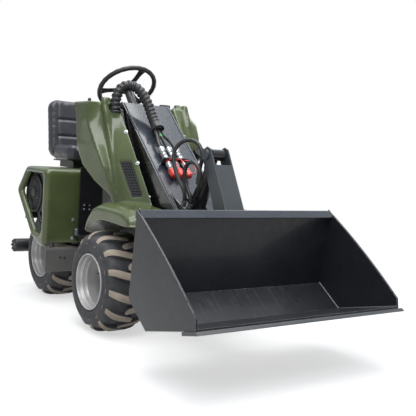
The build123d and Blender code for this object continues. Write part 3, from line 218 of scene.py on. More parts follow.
def metal(name, colour, rough, streak=1.0):
    """Bare or plated metal with fine scratches."""
    mat, n = material(name)
    fine = n.noise(160.0, 6.0)
    base = n.mix(n.ramp(n.noise(18.0, 4.0), (0.3, 0.0), (0.7, 1.0)), tuple(c * 0.8 for c in colour), colour)
    gloss = n.add("MapRange", Value=fine, i1=0.3, i2=0.7, i3=rough * (1 - 0.3 * streak), i4=rough * (1 + 0.4 * streak))
    n.finish(Base_Color=base, Metallic=1.0, Roughness=gloss.outputs[0], Normal=n.bump(fine, 0.05 * streak, 0.0005))
    return mat


GREEN = painted("green_gel_coat", (0.073, 0.094, 0.036), 0.24, coat=0.32, orange_peel=0.012, dust=0.15, shine=0.35)
# Lighter edges on the anthracite, bucket, boom and black paints are rubbed paint and partly a painted edge highlight.
ANTHRACITE = painted("anthracite_paint", (0.036, 0.043, 0.049), 0.42, coat=0.1, wear_and_edge_sheen=(0.24, 0.25, 0.26), dust=0.35)
BUCKET = painted("bucket_paint", (0.013, 0.0145, 0.019), 0.32, coat=0.12, wear_and_edge_sheen=(0.26, 0.27, 0.29), edge=0.003,
                 dust=0.06, scuff=0.22, orange_peel=0.015, shine=0.35)
# The boom's side walls get painted shade (the sides colour), and its lighter edges are partly a painted edge highlight.
BOOM = painted("boom_paint_and_side_shade", (0.032, 0.038, 0.050), 0.26, coat=0.6, wear_and_edge_sheen=(0.22, 0.23, 0.25), orange_peel=0.012,
               sides=(0.006, 0.006, 0.007), shine=0.4)
WELD = painted("weld_bead", (0.15, 0.15, 0.155), 0.42, metal=0.4)
GREY = painted("frame_grey_paint", (0.100, 0.101, 0.102), 0.5, dust=0.4)
BLACK = painted("black_paint", (0.014, 0.014, 0.016), 0.38, wear_and_edge_sheen=(0.10, 0.10, 0.10))
RIM = painted("rim_silver_paint", (0.46, 0.45, 0.45), 0.38, metal=0.3, dust=0.2)
RED = painted("red_vinyl", (0.62, 0.035, 0.022), 0.3, coat=0.2)
STEEL = metal("bare_steel", (0.55, 0.55, 0.56), 0.32)
COUPLING = metal("plated_coupling", (0.40, 0.41, 0.42), 0.24)
CHROME = metal("plated_rod", (0.80, 0.80, 0.82), 0.10, streak=0.4)
GALVANISED = metal("galvanised_sheet", (0.46, 0.48, 0.51), 0.42)
PLASTIC = rubbery("black_plastic", (0.016, 0.016, 0.018), 0.45)
RUBBER = rubbery("hose_rubber", (0.012, 0.012, 0.013), 0.42, grain=900.0, dust=0.15)
VINYL = rubbery("seat_vinyl", (0.034, 0.034, 0.041), 0.36, grain=700.0, strength=0.35)
ENGINE_BLACK = rubbery("engine_black", (0.014, 0.014, 0.015), 0.4)
CASTING = painted("cast_engine", (0.07, 0.07, 0.073), 0.6, metal=0.5, orange_peel=0.5)
TYRE = rubbery("tyre_rubber", (0.030, 0.030, 0.033), 0.7, grain=260.0, dust=0.6)
TREAD = rubbery("dusty_tread", (0.31, 0.262, 0.215), 0.85, grain=220.0, dust=0.3)
MARK = painted("green_mark", (0.03, 0.30, 0.08), 0.4)

# Plated tilt rod whose eye is painted black
PAINTED_ROD, n = material("rod_with_painted_eye")
from_eye = n.add("VectorMath", _operation="DISTANCE", i0=n.add("TexCoord").outputs["Object"], i1=at(0, -399, 920))
plated = n.ramp(n.math("MULTIPLY", from_eye.outputs["Value"], 10.0), (0.55, 0.0), (0.60, 1.0))
n.finish(Base_Color=n.mix(plated, (0.015, 0.015, 0.017), (0.80, 0.80, 0.82)), Metallic=plated,
         Roughness=n.add("MapRange", Value=n.noise(160.0, 6.0), i3=0.12, i4=0.34).outputs[0])

FINISH = {"green_shell": GREEN, "anthracite": ANTHRACITE, "frame_grey": GREY, "black_metal": BLACK, "tyre": TYRE,
          "rim_silver": RIM, "steel": STEEL, "chrome": CHROME, "black_plastic": PLASTIC, "hose": RUBBER,
          "red_cap": RED, "seat_vinyl": VINYL, "engine_black": ENGINE_BLACK, "engine_metal": CASTING,
          "galvanised": GALVANISED}
for part in frame["record"]["subparts"]:
    mesh = nodes[part["node"]].data
    mesh.materials.clear()
    mesh.materials.append(FINISH[part["material_slot"]])
for names, mat in [(("boom", "boom_gussets"), BOOM), (("tilt_rod",), PAINTED_ROD), (("steering_column",), BLACK),
                   (("bucket_shell", "bucket_side_left", "bucket_side_right", "bucket_rail"), BUCKET)]:
    for name in names:
        nodes[name].data.materials[0] = mat


def emit(name, bm, mats, body, smooth=True):
    """Mesh object from a bmesh, riding on a body."""
    bmesh.ops.recalc_face_normals(bm, faces=bm.faces)
    mesh = bpy.data.meshes.new(name)
    bm.to_mesh(mesh)
    bm.free()
    return show(name, mesh, mats, body, smooth)


def show(name, data, mats, body, smooth=True):
    """Object of a mesh or curve with its materials, riding on a body."""
    for mat in mats:
        data.materials.append(mat)
    if smooth and hasattr(data, "polygons"):
        data.polygons.foreach_set("use_smooth", [True] * len(data.polygons))
    obj = bpy.data.objects.new(name, data)
    scene.collection.objects.link(obj)
    if body:
        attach(obj, body)
    return obj


def bridge(bm, rings, mat=0, caps=False):
    """Quads between rings of as many points."""
    rows = [[bm.verts.new(point) for point in ring] for ring in rings]
    for near, far in zip(rows, rows[1:]):
        for i in range(len(near)):
            bm.faces.new((near[i - 1], near[i], far[i], far[i - 1])).material_index = mat
    if caps:
        for ring in (rows[0], rows[-1]):
            bm.faces.new(ring).material_index = mat


def turned(bm, foot, axis, rings, sides=32, lobes=0, deep=0.0, mat=0):
    """Turned piece about an axis; rings are (distance, radius) in millimetres, with lobes cut round it."""
    axis = Vector(axis).normalized()
    across = axis.orthogonal().normalized()
    over = axis.cross(across)
    around = [2 * pi * i / sides for i in range(sides)]
    bridge(bm, [[Vector(foot) + axis * dist / 1000 + (across * cos(a) + over * sin(a))
                 * (r - (deep if lobes and cos(lobes * a) < 0 and r > 3 * deep else 0)) / 1000 for a in around]
                for dist, r in rings], mat, caps=True)


def swept(bm, points, radius, sides=24, rib=0.0, pitch=0.013, mat=0):
    """Tube along points, with a spiral rib of that height round it."""
    along = (points[1] - points[0]).normalized()
    across = along.orthogonal().normalized()
    rings, gone = [], 0.0
    for i, point in enumerate(points):
        ahead = (points[min(i + 1, len(points) - 1)] - points[max(i - 1, 0)]).normalized()
        across = (along.rotation_difference(ahead) @ across).normalized()
        along = ahead
        gone += (point - points[i - 1]).length if i else 0.0
        over = along.cross(across)
        ring = []
        for k in range(sides):
            a = 2 * pi * k / sides
            wave = cos(a - 2 * pi * gone / pitch)
            r = radius + rib * max(-1.0, min(1.0, 1.8 * wave)) * 0.5
            ring.append(point + (across * cos(a) + over * sin(a)) * r)
        rings.append(ring)
    bridge(bm, rings, mat, caps=True)


def route(name, points, fine=40):
    """Curve with the route's points as its control points."""
    curve = bpy.data.curves.new(name, "CURVE")
    curve.dimensions = "3D"
    spline = curve.splines.new("NURBS")
    spline.points.add(len(points) - 1)
    for point, place in zip(spline.points, points):
        point.co = (*place, 1)
    spline.order_u = 3
    spline.use_endpoint_u = True
    spline.resolution_u = curve.resolution_u = fine
    return curve


def line_of(curve):
    """Points along a curve, as Blender draws it, and their length."""
    obj = bpy.data.objects.new(curve.name, curve)
    mesh = bpy.data.meshes.new_from_object(obj)
    points = [v.co.copy() for v in mesh.vertices]
    bpy.data.objects.remove(obj)
    bpy.data.meshes.remove(mesh)
    return points, sum((b - a).length for a, b in zip(points, points[1:]))


def cube(bm, low, high, mat=0):
    """Box between two corners in millimetres."""
    (x0, y0, z0), (x1, y1, z1) = low, high
    bridge(bm, [[at(x0, y0, z), at(x1, y0, z), at(x1, y1, z), at(x0, y1, z)] for z in (z0, z1)], mat, caps=True)


BOOM_PIVOT_Y, BOOM_PIVOT_Z, BOOM_SLOPE = 318, 1101, radians(42.3)
DOWN_BOOM = Vector((0, -cos(BOOM_SLOPE), -sin(BOOM_SLOPE)))
OFF_BOOM = Vector((0, -sin(BOOM_SLOPE), cos(BOOM_SLOPE)))


def on_boom(along, rise, x=0.0):
    """Place on the boom, by distance from its pivot and height over the pivot line."""
    c, s = cos(BOOM_SLOPE), sin(BOOM_SLOPE)
    return at(x, BOOM_PIVOT_Y - c * along - s * rise, BOOM_PIVOT_Z - s * along + c * rise)


def baked(obj):
    """Mesh of an object with its modifiers worked in."""
    graph = bpy.context.evaluated_depsgraph_get()
    return bpy.data.meshes.new_from_object(obj.evaluated_get(graph))


def applied(obj):
    """Works an object's modifiers into its mesh."""
    mesh = baked(obj)
    obj.modifiers.clear()
    obj.data = mesh
    return mesh


def smoothed(obj, rounds):
    """Smooths an object's mesh so many times."""
    step = obj.modifiers.new("round", "SMOOTH")
    step.factor, step.iterations = 0.5, rounds
    return applied(obj)


def bevelled(obj, width, angle):
    """Bevel on edges sharper than an angle in degrees; the width is in millimetres."""
    edge = obj.modifiers.new("edge", "BEVEL")
    edge.width, edge.segments, edge.limit_method, edge.angle_limit = width / 1000, 2, "ANGLE", radians(angle)
    return edge


def remeshed(name, node, size, joined=None):
    """Object with an even copy of a node's mesh, and of closed forms that joined adds to it."""
    bm = bmesh.new()
    bm.from_mesh(nodes[node].data)
    if joined:
        joined(bm)
        bmesh.ops.recalc_face_normals(bm, faces=bm.faces)
    mesh = bpy.data.meshes.new(name)
    bm.to_mesh(mesh)
    bm.free()
    obj = bpy.data.objects.new(name, mesh)
    scene.collection.objects.link(obj)
    even = obj.modifiers.new("even", "REMESH")
    even.mode, even.voxel_size = "VOXEL", size
    applied(obj)
    return obj


def finish_piece(obj, mats, body, *stands_for):
    """Smooth shading, materials and body of a piece that stands for CAD nodes."""
    obj.data.materials.clear()
    for mat in mats:
        obj.data.materials.append(mat)
    obj.data.polygons.foreach_set("use_smooth", [True] * len(obj.data.polygons))
    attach(obj, body)
    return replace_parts(obj, *stands_for)


def ease(share):
    """Smooth step from 0 to 1."""
    share = max(0.0, min(1.0, share))
    return share * share * (3 - 2 * share)


# Moulded green bodywork: the solids with a rounded ridge down each, edges and creases eased
RIDGE = [(258, 297, 1180, 20), (258, 292, 1150, 21), (254, 276, 1110, 20), (250, 258, 1046, 18), (247, 228, 967, 16),
         (246, 190, 861, 13), (247, 154, 768, 9), (249, 130, 700, 5)]
SHELL_VOXEL = 0.0055
FLAP_TOP, FLAP_BACK = 566, 70


def ridge(bm, way):
    """Round-ended bars end to end along the ridge of one side."""
    for (x0, y0, z0, r0), (x1, y1, z1, r1) in zip(RIDGE, RIDGE[1:]):
        start, run = at(way * x0, y0, z0), at(way * x1, y1, z1) - at(way * x0, y0, z0)
        length = run.length * 1000
        turned(bm, start, run, [(-0.85 * r0, 0.5 * r0), (-0.5 * r0, 0.86 * r0), (0, r0), (length, r1),
                                (length + 0.5 * r1, 0.86 * r1), (length + 0.85 * r1, 0.5 * r1)], 24)


for end, way in (("left", 1), ("right", -1)):
    shell = remeshed(f"moulded_body_{end}", f"body_{end}", SHELL_VOXEL, lambda bm: ridge(bm, way))
    for vert in smoothed(shell, 16).vertices:
        x, y, z = vert.co.x * 1000, vert.co.y * 1000 - AXLE_Y, vert.co.z * 1000
        if end == "right":
            vert.co.y -= 0.090 * ease((z - 880) / 270) * ease((y - 290) / 160)
        if z < FLAP_TOP and y < FLAP_BACK:
            vert.co.z = (FLAP_TOP - (FLAP_TOP - z) * (1 - 0.92 * ease((FLAP_BACK - y) / 110))) / 1000
        if end == "left":
            vert.co.y -= 0.070 * ease((x - 225) / 110) * ease((z - 840) / 190) * ease((1185 - z) / 110)
    finish_piece(shell, [GREEN], "front_frame", f"body_{end}")


def front_corner(bm):
    """Rounded corner between the cover's front and top."""
    arc = [radians(75 + 7 * i) for i in range(18)]
    section = [(680 + r * cos(a), 750 + r * sin(a)) for r, turn in ((40, 1), (31, -1)) for a in arc[::turn]]
    bridge(bm, [[at(x, y, z) for y, z in section] for x in (-396, 396)], caps=True)


# Moulded engine cover with its edges eased
shell = remeshed("moulded_cover", "engine_cover", SHELL_VOXEL, front_corner)
smoothed(shell, 46)
finish_piece(shell, [GREEN], "rear_frame", "engine_cover")

# Edges of sheet metal and castings taken off; columns: nodes, width in millimetres
for names, width in [(("boom", "boom_gussets", "front_chassis", "rear_chassis", "bulkhead"), 2.0),
                     (("bucket_shell", "bucket_side_left", "bucket_side_right", "bucket_rail", "bucket_edge"), 1.6),
                     (("hitch_plate", "hitch_upright", "coupler_bracket", "seat_base"), 1.6),
                     (("front_axle", "rear_axle", "engine_block", "steering_column", "oil_filter"), 3.0)]:
    for name in names:
        nodes[name].modifiers.new("weld", "WELD").merge_threshold = 0.00002
        bevelled(nodes[name], width, 32).harden_normals = True

# Tyres: carcass and two staggered sets of curved bars; half of the carcass outline is (from the middle, radius)
CARCASS = [(112, 143), (121, 146), (124.6, 156), (125, 168), (123.4, 174), (124.6, 179), (122.5, 194), (117.5, 209),
           (109, 221), (96, 228), (75, 232.5), (40, 235.5), (0, 236)]
# Bar sections: top x and radius, base x and radius, half width
BAR = [(-27, 252.8, -29, 233, 5.8), (-25.6, 253.8, -27, 233, 11), (-22, 254, -23, 233, 15.7),
       (-16, 254, -16, 233, 18.6), (-4, 254, -4, 233, 20.2), (20, 253.9, 20, 233, 20.9), (42, 253.3, 42, 232, 20.9),
       (60, 251.5, 60, 231, 20.9), (78, 248, 78, 228, 20.9), (92, 242, 90, 224, 20.4), (102, 234, 98, 219, 20),
       (109, 225, 104, 213, 19.3), (115, 213, 109, 205, 18.6), (120.5, 200, 114, 195, 17.9),
       (123.6, 188, 119, 184, 17.4)]
BARS, BAR_SWEEP, BAR_REACH, TYRE_R = 14, radians(9.3), 121, 254


def turned_x(x, r, a):
    """Place at a turn round the x axis, in metres."""
    return x / 1000, r / 1000 * cos(a), r / 1000 * sin(a)


bm = bmesh.new()
outline = [(-x, r) for x, r in CARCASS] + CARCASS[-2::-1]
bridge(bm, [[turned_x(x, r, 2 * pi * i / 112) for i in range(112)] for x, r in outline])
for way, ahead in ((1, 0.0), (-1, 0.5)):
    for number in range(BARS):
        middle = (number + ahead) * 2 * pi / BARS
        rows = []
        for x, top, base_x, base, half in BAR:
            turn = middle - BAR_SWEEP * (max(x, 0) / BAR_REACH) ** 1.25 - (min(x, 0) / BAR_REACH) * BAR_SWEEP
            rows.append([bm.verts.new(turned_x(way * px, r, turn + w / TYRE_R)) for px, r, w in (
                (base_x, base, -half - 3.5), (x, top - 2.4, -half), (x, top, 2.4 - half), (x, top, 0),
                (x, top, half - 2.4), (x, top - 2.4, half), (base_x, base, half + 3.5))])
        for near, far in zip(rows, rows[1:]):
            for i in range(6):
                face = bm.faces.new((near[i], near[i + 1], far[i + 1], far[i]))
                face.material_index = 1 if i in (2, 3) else 0
        bm.faces.new(rows[0])
        bm.faces.new(rows[-1])
bmesh.ops.recalc_face_normals(bm, faces=bm.faces)
tyre_mesh = bpy.data.meshes.new("tyre")
bm.to_mesh(tyre_mesh)
bm.free()
for mat in (TYRE, TREAD):
    tyre_mesh.materials.append(mat)
tyre_mesh.polygons.foreach_set("use_smooth", [True] * len(tyre_mesh.polygons))

# Deep stepped rims with wheel nuts and a valve; outline is (outward from the middle, radius)
RIM_FACE = [(-40, 24), (14, 24), (16, 44), (8, 50), (-16, 56), (-22, 62), (-22, 98), (-16, 108), (4, 113), (40, 114.5),
            (46, 117.5), (72, 118.5), (79, 123), (96, 124.5), (102, 129), (110, 132), (119, 132.5), (124.5, 135),
            (125, 139), (122, 141.6), (116, 141.6), (108, 136), (102, 128), (-102, 128), (-108, 136), (-116, 141.6),
            (-124, 141.6), (-125, 136), (-110, 132), (-98, 121), (-46, 120), (-44, 60), (-40, 24)]
for name in ("front_left", "front_right", "rear_left", "rear_right"):
    low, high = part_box(f"tyre_{name}")
    centre = (low + high) / 2
    out = 1 if name.endswith("left") else -1
    tyre = bpy.data.objects.new(f"treaded_tyre_{name}", tyre_mesh)
    tyre.location = centre
    scene.collection.objects.link(tyre)
    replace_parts(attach(tyre, f"wheel_{name}"), f"tyre_{name}")
    bm = bmesh.new()
    bridge(bm, [[turned_x(out * x, r, 2 * pi * i / 96) for i in range(96)] for x, r in RIM_FACE])
    rim = emit(f"stepped_rim_{name}", bm, [RIM], None)
    rim.location = centre
    bevelled(rim, 1.2, 28)
    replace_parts(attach(rim, f"wheel_{name}"), f"rim_{name}")
    bm = bmesh.new()
    for k in range(5):
        a = 2 * pi * k / 5 + 0.3
        foot = centre + Vector((out * -0.022, 0.08 * cos(a), 0.08 * sin(a)))
        turned(bm, foot, (out, 0, 0), [(0, 15), (2.5, 15), (2.6, 11)], 24)
        turned(bm, foot, (out, 0, 0), [(2, 11), (13, 11), (15, 9)], 6)
        turned(bm, foot, (out, 0, 0), [(14, 6), (21, 6), (22, 5)], 16)
    turned(bm, centre, (out, 0, 0), [(14, 24), (20, 24), (22, 21), (26, 20), (27, 17)], 48)
    emit(f"wheel_nuts_{name}", bm, [STEEL], f"wheel_{name}")
    bm = bmesh.new()
    turned(bm, centre + Vector((out * 0.086, -0.103, 0.062)), (out, 0.16, -0.1),
           [(0, 8), (4, 8), (7, 6), (26, 5.4), (27, 4.4), (37, 4.4), (38, 3.6)], 20)
    emit(f"valve_{name}", bm, [RUBBER], f"wheel_{name}")

# Spiral-wrapped bundle from the tower's gland over the pivot
BUNDLE_R = 0.028
bundle_points = [at(-206, 272, 1125.3), at(-206, 272, 1200), at(-172, 268, 1262), at(-108, 240, 1272),
                 at(-60, 190, 1200), on_boom(144, 108, -40), on_boom(214, 108, -40)]
bundle_line, bundle_length = line_of(route("bundle_route", bundle_points, 60))
bm = bmesh.new()
swept(bm, bundle_line, BUNDLE_R - 0.0014, sides=40, rib=0.0044, pitch=0.024)
bundle = emit("spiral_bundle", bm, [RUBBER], None)
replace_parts(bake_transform(bundle), "hose_bundle")
bm = bmesh.new()
turned(bm, bundle_points[-1], DOWN_BOOM, [(-46, 24), (-46, 28.6), (-40, 30), (-24, 30.6), (-10, 32), (0, 34.6),
                                          (3, 34.6), (3, 32), (-6, 26)], 48)
sleeve = emit("bundle_sleeve", bm, [RUBBER], "boom")
bm = bmesh.new()
turned(bm, at(-206, 272, 1117), (0, 0, 1), [(0, 31), (0, 33.5), (10, 33.5), (10, 31)], 48)
emit("gland_clamp", bm, [BLACK], "front_frame")

# Three hoses from the bundle to the couplers
COUPLER_X = (-72.0, -28.0, 18.0)
COUPLER_HOSE_R = 0.009
for number, x in enumerate(COUPLER_X):
    start_x = -40 + (x + 28) / 2.3
    points = [on_boom(214.3, 104, start_x), on_boom(252, 104, start_x), on_boom(305, 96, x), on_boom(345, 96, x)]
    curve = route(f"coupler_hose_{number}", points)
    hose_line, length = line_of(curve)
    curve.bevel_depth, curve.bevel_resolution = COUPLER_HOSE_R, 6
    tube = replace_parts(show(f"coupler_hose_{number}", curve, [RUBBER], "boom"), "coupler_hoses")
    if number == 1:
        bm = bmesh.new()
        swept(bm, hose_line[30:44], 0.0096)
        emit("hose_mark", bm, [MARK], "boom")

# Quick couplers with knurled collars; red caps with ribs and straps; columns: distance, radius
COUPLER_FORM = [(0, 12), (0, 15.5), (3, 17), (34, 17), (38, 15), (40, 12.6), (44, 12.6), (45, 15.4), (48, 16.4),
                (58, 16.4), (59, 15), (62, 15), (63, 16.4), (84, 16.4), (88, 14.6), (94, 13), (104, 13), (106, 15.6),
                (112, 17), (128, 17), (133, 15), (136, 13.8), (159, 13.8), (160, 12)]
CAP_FORM = [(0, 14.2), (0, 18), (2, 19), (12, 19), (14, 18), (16, 18), (18, 19), (40, 18.4), (46, 16.4), (49, 13),
            (50, 8)]
couplers, caps = bmesh.new(), bmesh.new()
for x in COUPLER_X:
    turned(couplers, on_boom(345, 96, x), DOWN_BOOM, COUPLER_FORM, 40)
    turned(couplers, on_boom(348, 96, x), DOWN_BOOM, [(0, 12), (0, 19.2), (2, 20), (22, 20), (24, 19.2), (24, 12)], 6)
    turned(couplers, on_boom(456, 96, x), DOWN_BOOM, [(0, 13), (0, 17.6), (16, 17.6), (16, 13)], 72, 36, 0.8)
    turned(caps, on_boom(505, 96, x), DOWN_BOOM, CAP_FORM, 60, 20, 0.9)
    wide, tall = (30, 10) if x > 0 else (8, 20)
    swept(caps, line_of(route("strap", [on_boom(546, 112, x), on_boom(556, 112 + tall, x + wide),
                                        on_boom(500, 122 + tall, x + 1.2 * wide), on_boom(458, 118 + tall, x + wide),
                                        on_boom(452, 112, x)], 12))[0], 0.0028, 10)
    turned(caps, on_boom(449.5, 96, x), DOWN_BOOM, [(0, 13.2), (0, 16.4), (5.5, 16.4), (5.5, 13.2)], 40)
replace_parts(emit("knurled_couplers", couplers, [COUPLING], "boom"), "quick_couplers")
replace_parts(emit("strapped_caps", caps, [RED], "boom"), "coupler_caps")

# Two loops of hose to the tilt cylinder
TILT_HOSE_R = 0.010
PORT_AT = [Vector((0, -205, 495)) + Vector((0, -194, 425)).normalized() * dist for dist in (311, 231)]
TILT_ROUTES = [
    ([on_boom(735, 70.3, -95), on_boom(735, 140, -95)],
     [(-125, -235, 825), (-122, -202, 931), (-81, -239, 989), (-42, -304, 981), (-34, -344, 912)],
     [(-39, 13, 69), (-52, 0, -4)]),
    ([on_boom(757, 70.3, -70), on_boom(757, 130, -70)],
     [(-83, -265, 776), (-89, -270, 863), (-87, -342, 888), (-78, -393, 834), (-66, -369, 770)],
     [(-61, -43, 40), (-52, 0, -4)])]
for number, ((foot, loop, tail), port) in enumerate(zip(TILT_ROUTES, PORT_AT)):
    points = foot + [at(*p) for p in loop] + [at(x, port.y + y, port.z + z) for x, y, z in tail]
    hose_line, length = line_of(route(f"tilt_route_{number}", points, 24))
    bm = bmesh.new()
    swept(bm, hose_line, TILT_HOSE_R, 20)
    tube = emit(f"tilt_hose_{number}", bm, [RUBBER], None)
    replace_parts(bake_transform(tube), "tilt_hoses")
    bm = bmesh.new()
    turned(bm, points[0], OFF_BOOM, [(0, 10), (0, 13), (20, 13), (22, 12), (22, 9.4), (40, 10.4), (41, 9.4)], 36)
    turned(bm, points[0], OFF_BOOM, [(2, 9), (2, 15), (13, 15), (13, 9)], 6)
    fitting = emit(f"hose_fitting_{number}", bm, [CASTING], "boom")


def stuffed(name, node, body, shrink, cap, grooves):
    """Seat pad blown up by a cloth simulation, with sewn channels; grooves give a depth from a place."""
    pad = remeshed(name, node, 0.006)
    low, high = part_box(node)
    middle = (low + high) / 2
    rest = [v.co - v.normal * shrink for v in pad.data.vertices]
    for vert, co in zip(pad.data.vertices, rest):
        vert.co = co
    cloth = pad.modifiers.new("cloth", "CLOTH")
    cloth.settings.use_pressure = True
    cloth.settings.uniform_pressure_force = 4.0
    cloth.settings.effector_weights.gravity = 0.0
    for number in range(1, 21):
        scene.frame_set(number)
    blown = baked(pad)
    pad.modifiers.clear()
    scene.frame_set(1)
    for vert, co, far in zip(pad.data.vertices, rest, blown.vertices):
        move = far.co - co
        vert.co = co + move * min(1.0, cap / max(move.length, 1e-9))
    smoothed(pad, 8)
    for vert, normal in [(v, v.normal.copy()) for v in pad.data.vertices]:
        vert.co -= normal * grooves((vert.co - middle) * 1000, normal)
        vert.co.z = max(vert.co.z, low.z)
    pad.modifiers.new("fine", "SUBSURF").render_levels = 1
    finish_piece(pad, [VINYL], body, node)


def valley(offset, width, depth):
    """Depth of a sewn channel, in metres, at an offset from its line in millimetres."""
    return depth / 1000 * exp(-((offset / width) ** 2))


BACK_MIDDLE = sum(corner.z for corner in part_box("seat_back")) * 500


def back_channels(p, normal):
    """Two level channels and the inner edges of the bolsters, on the front of the back rest."""
    if normal.y > -0.3:
        return 0.0
    level = p.z + BACK_MIDDLE
    inside = 1.0 if abs(p.x) < 172 else 0.0
    return (valley(level - 1090, 8, 9) + valley(level - 984, 8, 9)) * inside + valley(abs(p.x) - 172, 9, 8)


def cushion_channels(p, normal):
    """Two channels across the cushion and the inner edges of its bolsters."""
    if normal.z < 0.3:
        return 0.0
    inside = 1.0 if abs(p.x) < 168 else 0.0
    return (valley(p.y - 45, 8, 8) + valley(p.y + 50, 8, 8)) * inside + valley(abs(p.x) - 168, 9, 7)


stuffed("seat_back_pad", "seat_back", "rear_frame", 0.003, 0.008, back_channels)
stuffed("seat_cushion_pad", "seat_cushion", "rear_frame", 0.003, 0.008, cushion_channels)


def nearest(owner, place):
    """Nearest point of a shown object's mesh to a place, and the way out there."""
    _, co, normal, _ = owner.closest_point_on_mesh(owner.matrix_world.inverted() @ place)
    return owner.matrix_world @ co, (owner.matrix_world.to_3x3() @ normal).normalized()


def bolt(bm, owner, place, r=6.5):
    """Hexagon head on a washer where a place meets an object's surface."""
    foot, way = nearest(owner, place)
    foot = foot - way * 0.001
    turned(bm, foot, way, [(0, 1.7 * r), (2.6, 1.7 * r), (2.8, 1.55 * r)], 28)
    turned(bm, foot, way, [(2.4, r), (0.75 * r + 2.4, r), (0.9 * r + 2.4, 0.82 * r)], 6)


# Bolts; columns: body, object they sit on, size, places in millimetres
objects = bpy.data.objects
for number, (body, owner, size, places) in enumerate([
        ("front_frame", objects["moulded_body_right"], 6.5, [(-184, 176, 1015), (-178, 44, 853), (-174, -92, 690)]),
        ("front_frame", objects["moulded_body_left"], 6.5, [(204, 330, 1173), (200, 190, 1014), (178, 44, 853)]),
        ("rear_frame", objects["moulded_cover"], 6.5, [(x, 640, z) for x in (-252, 252) for z in (492, 385)]),
        ("boom", nodes["coupler_bracket"], 4.5, [(-96, -26, 862), (40, -26, 862)]),
        ("front_frame", nodes["front_chassis"], 9.0,
         [(x, y, z) for x in (-171, 171) for y, z in ((-80, 330), (60, 330), (200, 340), (-60, 440), (330, 620))]),
        ("bucket", nodes["bucket_edge"], 7.0,
         [(x, -1050, 264) for x in (-500, -300, -100, 100, 300, 500)]),
        ("rear_frame", nodes["rear_chassis"], 8.0,
         [(x, 1160, z) for x in (-50, 50) for z in (240, 400)])]):
    bm = bmesh.new()
    for x, y, z in places:
        bolt(bm, owner, at(x, y, z), size)
    emit(f"bolts_{number}", bm, [GALVANISED], body)


def bead(bm, start, end, r=4.0):
    """Weld bead with its ripples between two places."""
    start, end = Vector(start), Vector(end)
    steps = max(8, int((end - start).length / 0.0022))
    along = (end - start).normalized()
    across = along.orthogonal().normalized()
    over = along.cross(across)
    bridge(bm, [[start.lerp(end, i / steps) + (across * cos(a) + over * sin(a)) * r / 1000
                 * (1 + 0.16 * abs(sin(i * 0.8))) for a in (2 * pi * k / 10 for k in range(10))]
                for i in range(steps + 1)], caps=True)


# Welds on the bucket, hitch and boom
bm = bmesh.new()
KNEE, HEEL, FRONT, TOP = (-606, 302), (-756, 197), (-1109, 281), (-639, 675)
for x in (-543, 543):
    for a, b in ((TOP, KNEE), (KNEE, HEEL), (HEEL, FRONT)):
        bead(bm, *[at(x, y * 0.985 - 12, z + 7) for y, z in (a, b)])
for x in (-59, 59):
    bead(bm, at(x, -596, 560), at(x, -592, 420), 4.5)
emit("bucket_welds", bm, [WELD], "bucket")
bm = bmesh.new()
for x in (-140, 140):
    bead(bm, on_boom(-30, 71, x), on_boom(1012, 71, x), 3.4)
for x in (-123, 123):
    for side in (-6.5, 6.5):
        bead(bm, on_boom(655, 71, x + side), on_boom(980, 71, x + side), 3.2)
emit("boom_welds", bm, [ANTHRACITE], "boom")

# Headed hitch pin with a collar at each end
bm = bmesh.new()
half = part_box("hitch_pin")[1].x * 1000
HEAD = [(0, 16), (0.6, 22), (2, 26), (6.5, 27), (8, 27), (8, 17.5)]
turned(bm, at(-half, -544, 350), (1, 0, 0), HEAD + [(2 * half - d, r) for d, r in HEAD[::-1]], 64)
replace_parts(emit("headed_hitch_pin", bm, [STEEL], "bucket"), "hitch_pin")

# Brackets on the bulkhead, ribbed foot plates with galvanised angles, folded skirts with grommets
bm, screws, plates, angles, skirts, rings = (bmesh.new() for _ in range(6))
foot_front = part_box("foot_plates")[0].y * 1000 - AXLE_Y
skirt_in, skirt_out = 212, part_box("side_skirts")[1].x * 1000
SKIRT_SECTION = [(636, 190), (632, 194), (632, 318), (635, 326), (642, 330), (652, 331), (652, 328), (644, 326),
                 (639, 323), (637, 316), (637, 190)]
for way in (-1, 1):
    flank = sorted((way * 146, way * 204))
    cube(bm, (flank[0], 626, 546), (flank[1], 632.5, 596))
    cube(bm, (flank[0] + 8, 612, 590), (flank[1] - 8, 628, 596))
    for x in (158, 192):
        for z in (556, 580):
            turned(screws, at(way * x, 626.5, z), (0, -1, 0), [(0, 6), (1, 6), (1.2, 5), (5, 5), (6, 3.6)], 6)
    flank = sorted((way * 100, way * 250))
    cube(plates, (flank[0], foot_front, 398), (flank[1], 626, 403))
    cube(plates, (flank[0], 622, 403), (flank[1], 632, 444))
    for step in range(9):
        y = foot_front + 12 + step * 11
        cube(plates, (flank[0] + 6, y, 402.5), (flank[1] - 6, y + 4, 405))
    flank = sorted((way * 226, way * 252))
    cube(angles, (flank[0], 596, 402.5), (flank[1], 622, 408))
    cube(angles, (flank[0], 617, 402.5), (flank[1], 622.4, 446))
    for z in (420, 436):
        turned(angles, at(way * 239, 617.4, z), (0, -1, 0), [(0, 5.5), (4, 5.5), (5, 4)], 6)
    flank = sorted((way * skirt_in, way * skirt_out))
    bridge(skirts, [[at(x, y, z) for y, z in SKIRT_SECTION] for x in flank], caps=True)
    for x, z in ((325, 273), (298, 269)):
        turned(rings, at(way * x, 632.5, z), (0, -1, 0), [(0, 8.5), (2, 8.5), (3, 7), (2.6, 5.2), (0.6, 4.6)], 32)
emit("bulkhead_brackets", bm, [BLACK], "rear_frame", smooth=False)
emit("bracket_screws", screws, [GALVANISED], "rear_frame", smooth=False)
emit("foot_angles", angles, [GALVANISED], "rear_frame", smooth=False)
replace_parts(emit("ribbed_foot_plates", plates, [BLACK], "rear_frame", smooth=False), "foot_plates")
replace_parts(emit("folded_skirts", skirts, [GREY], "rear_frame", smooth=False), "side_skirts")
emit("skirt_grommets", rings, [PLASTIC], "rear_frame")

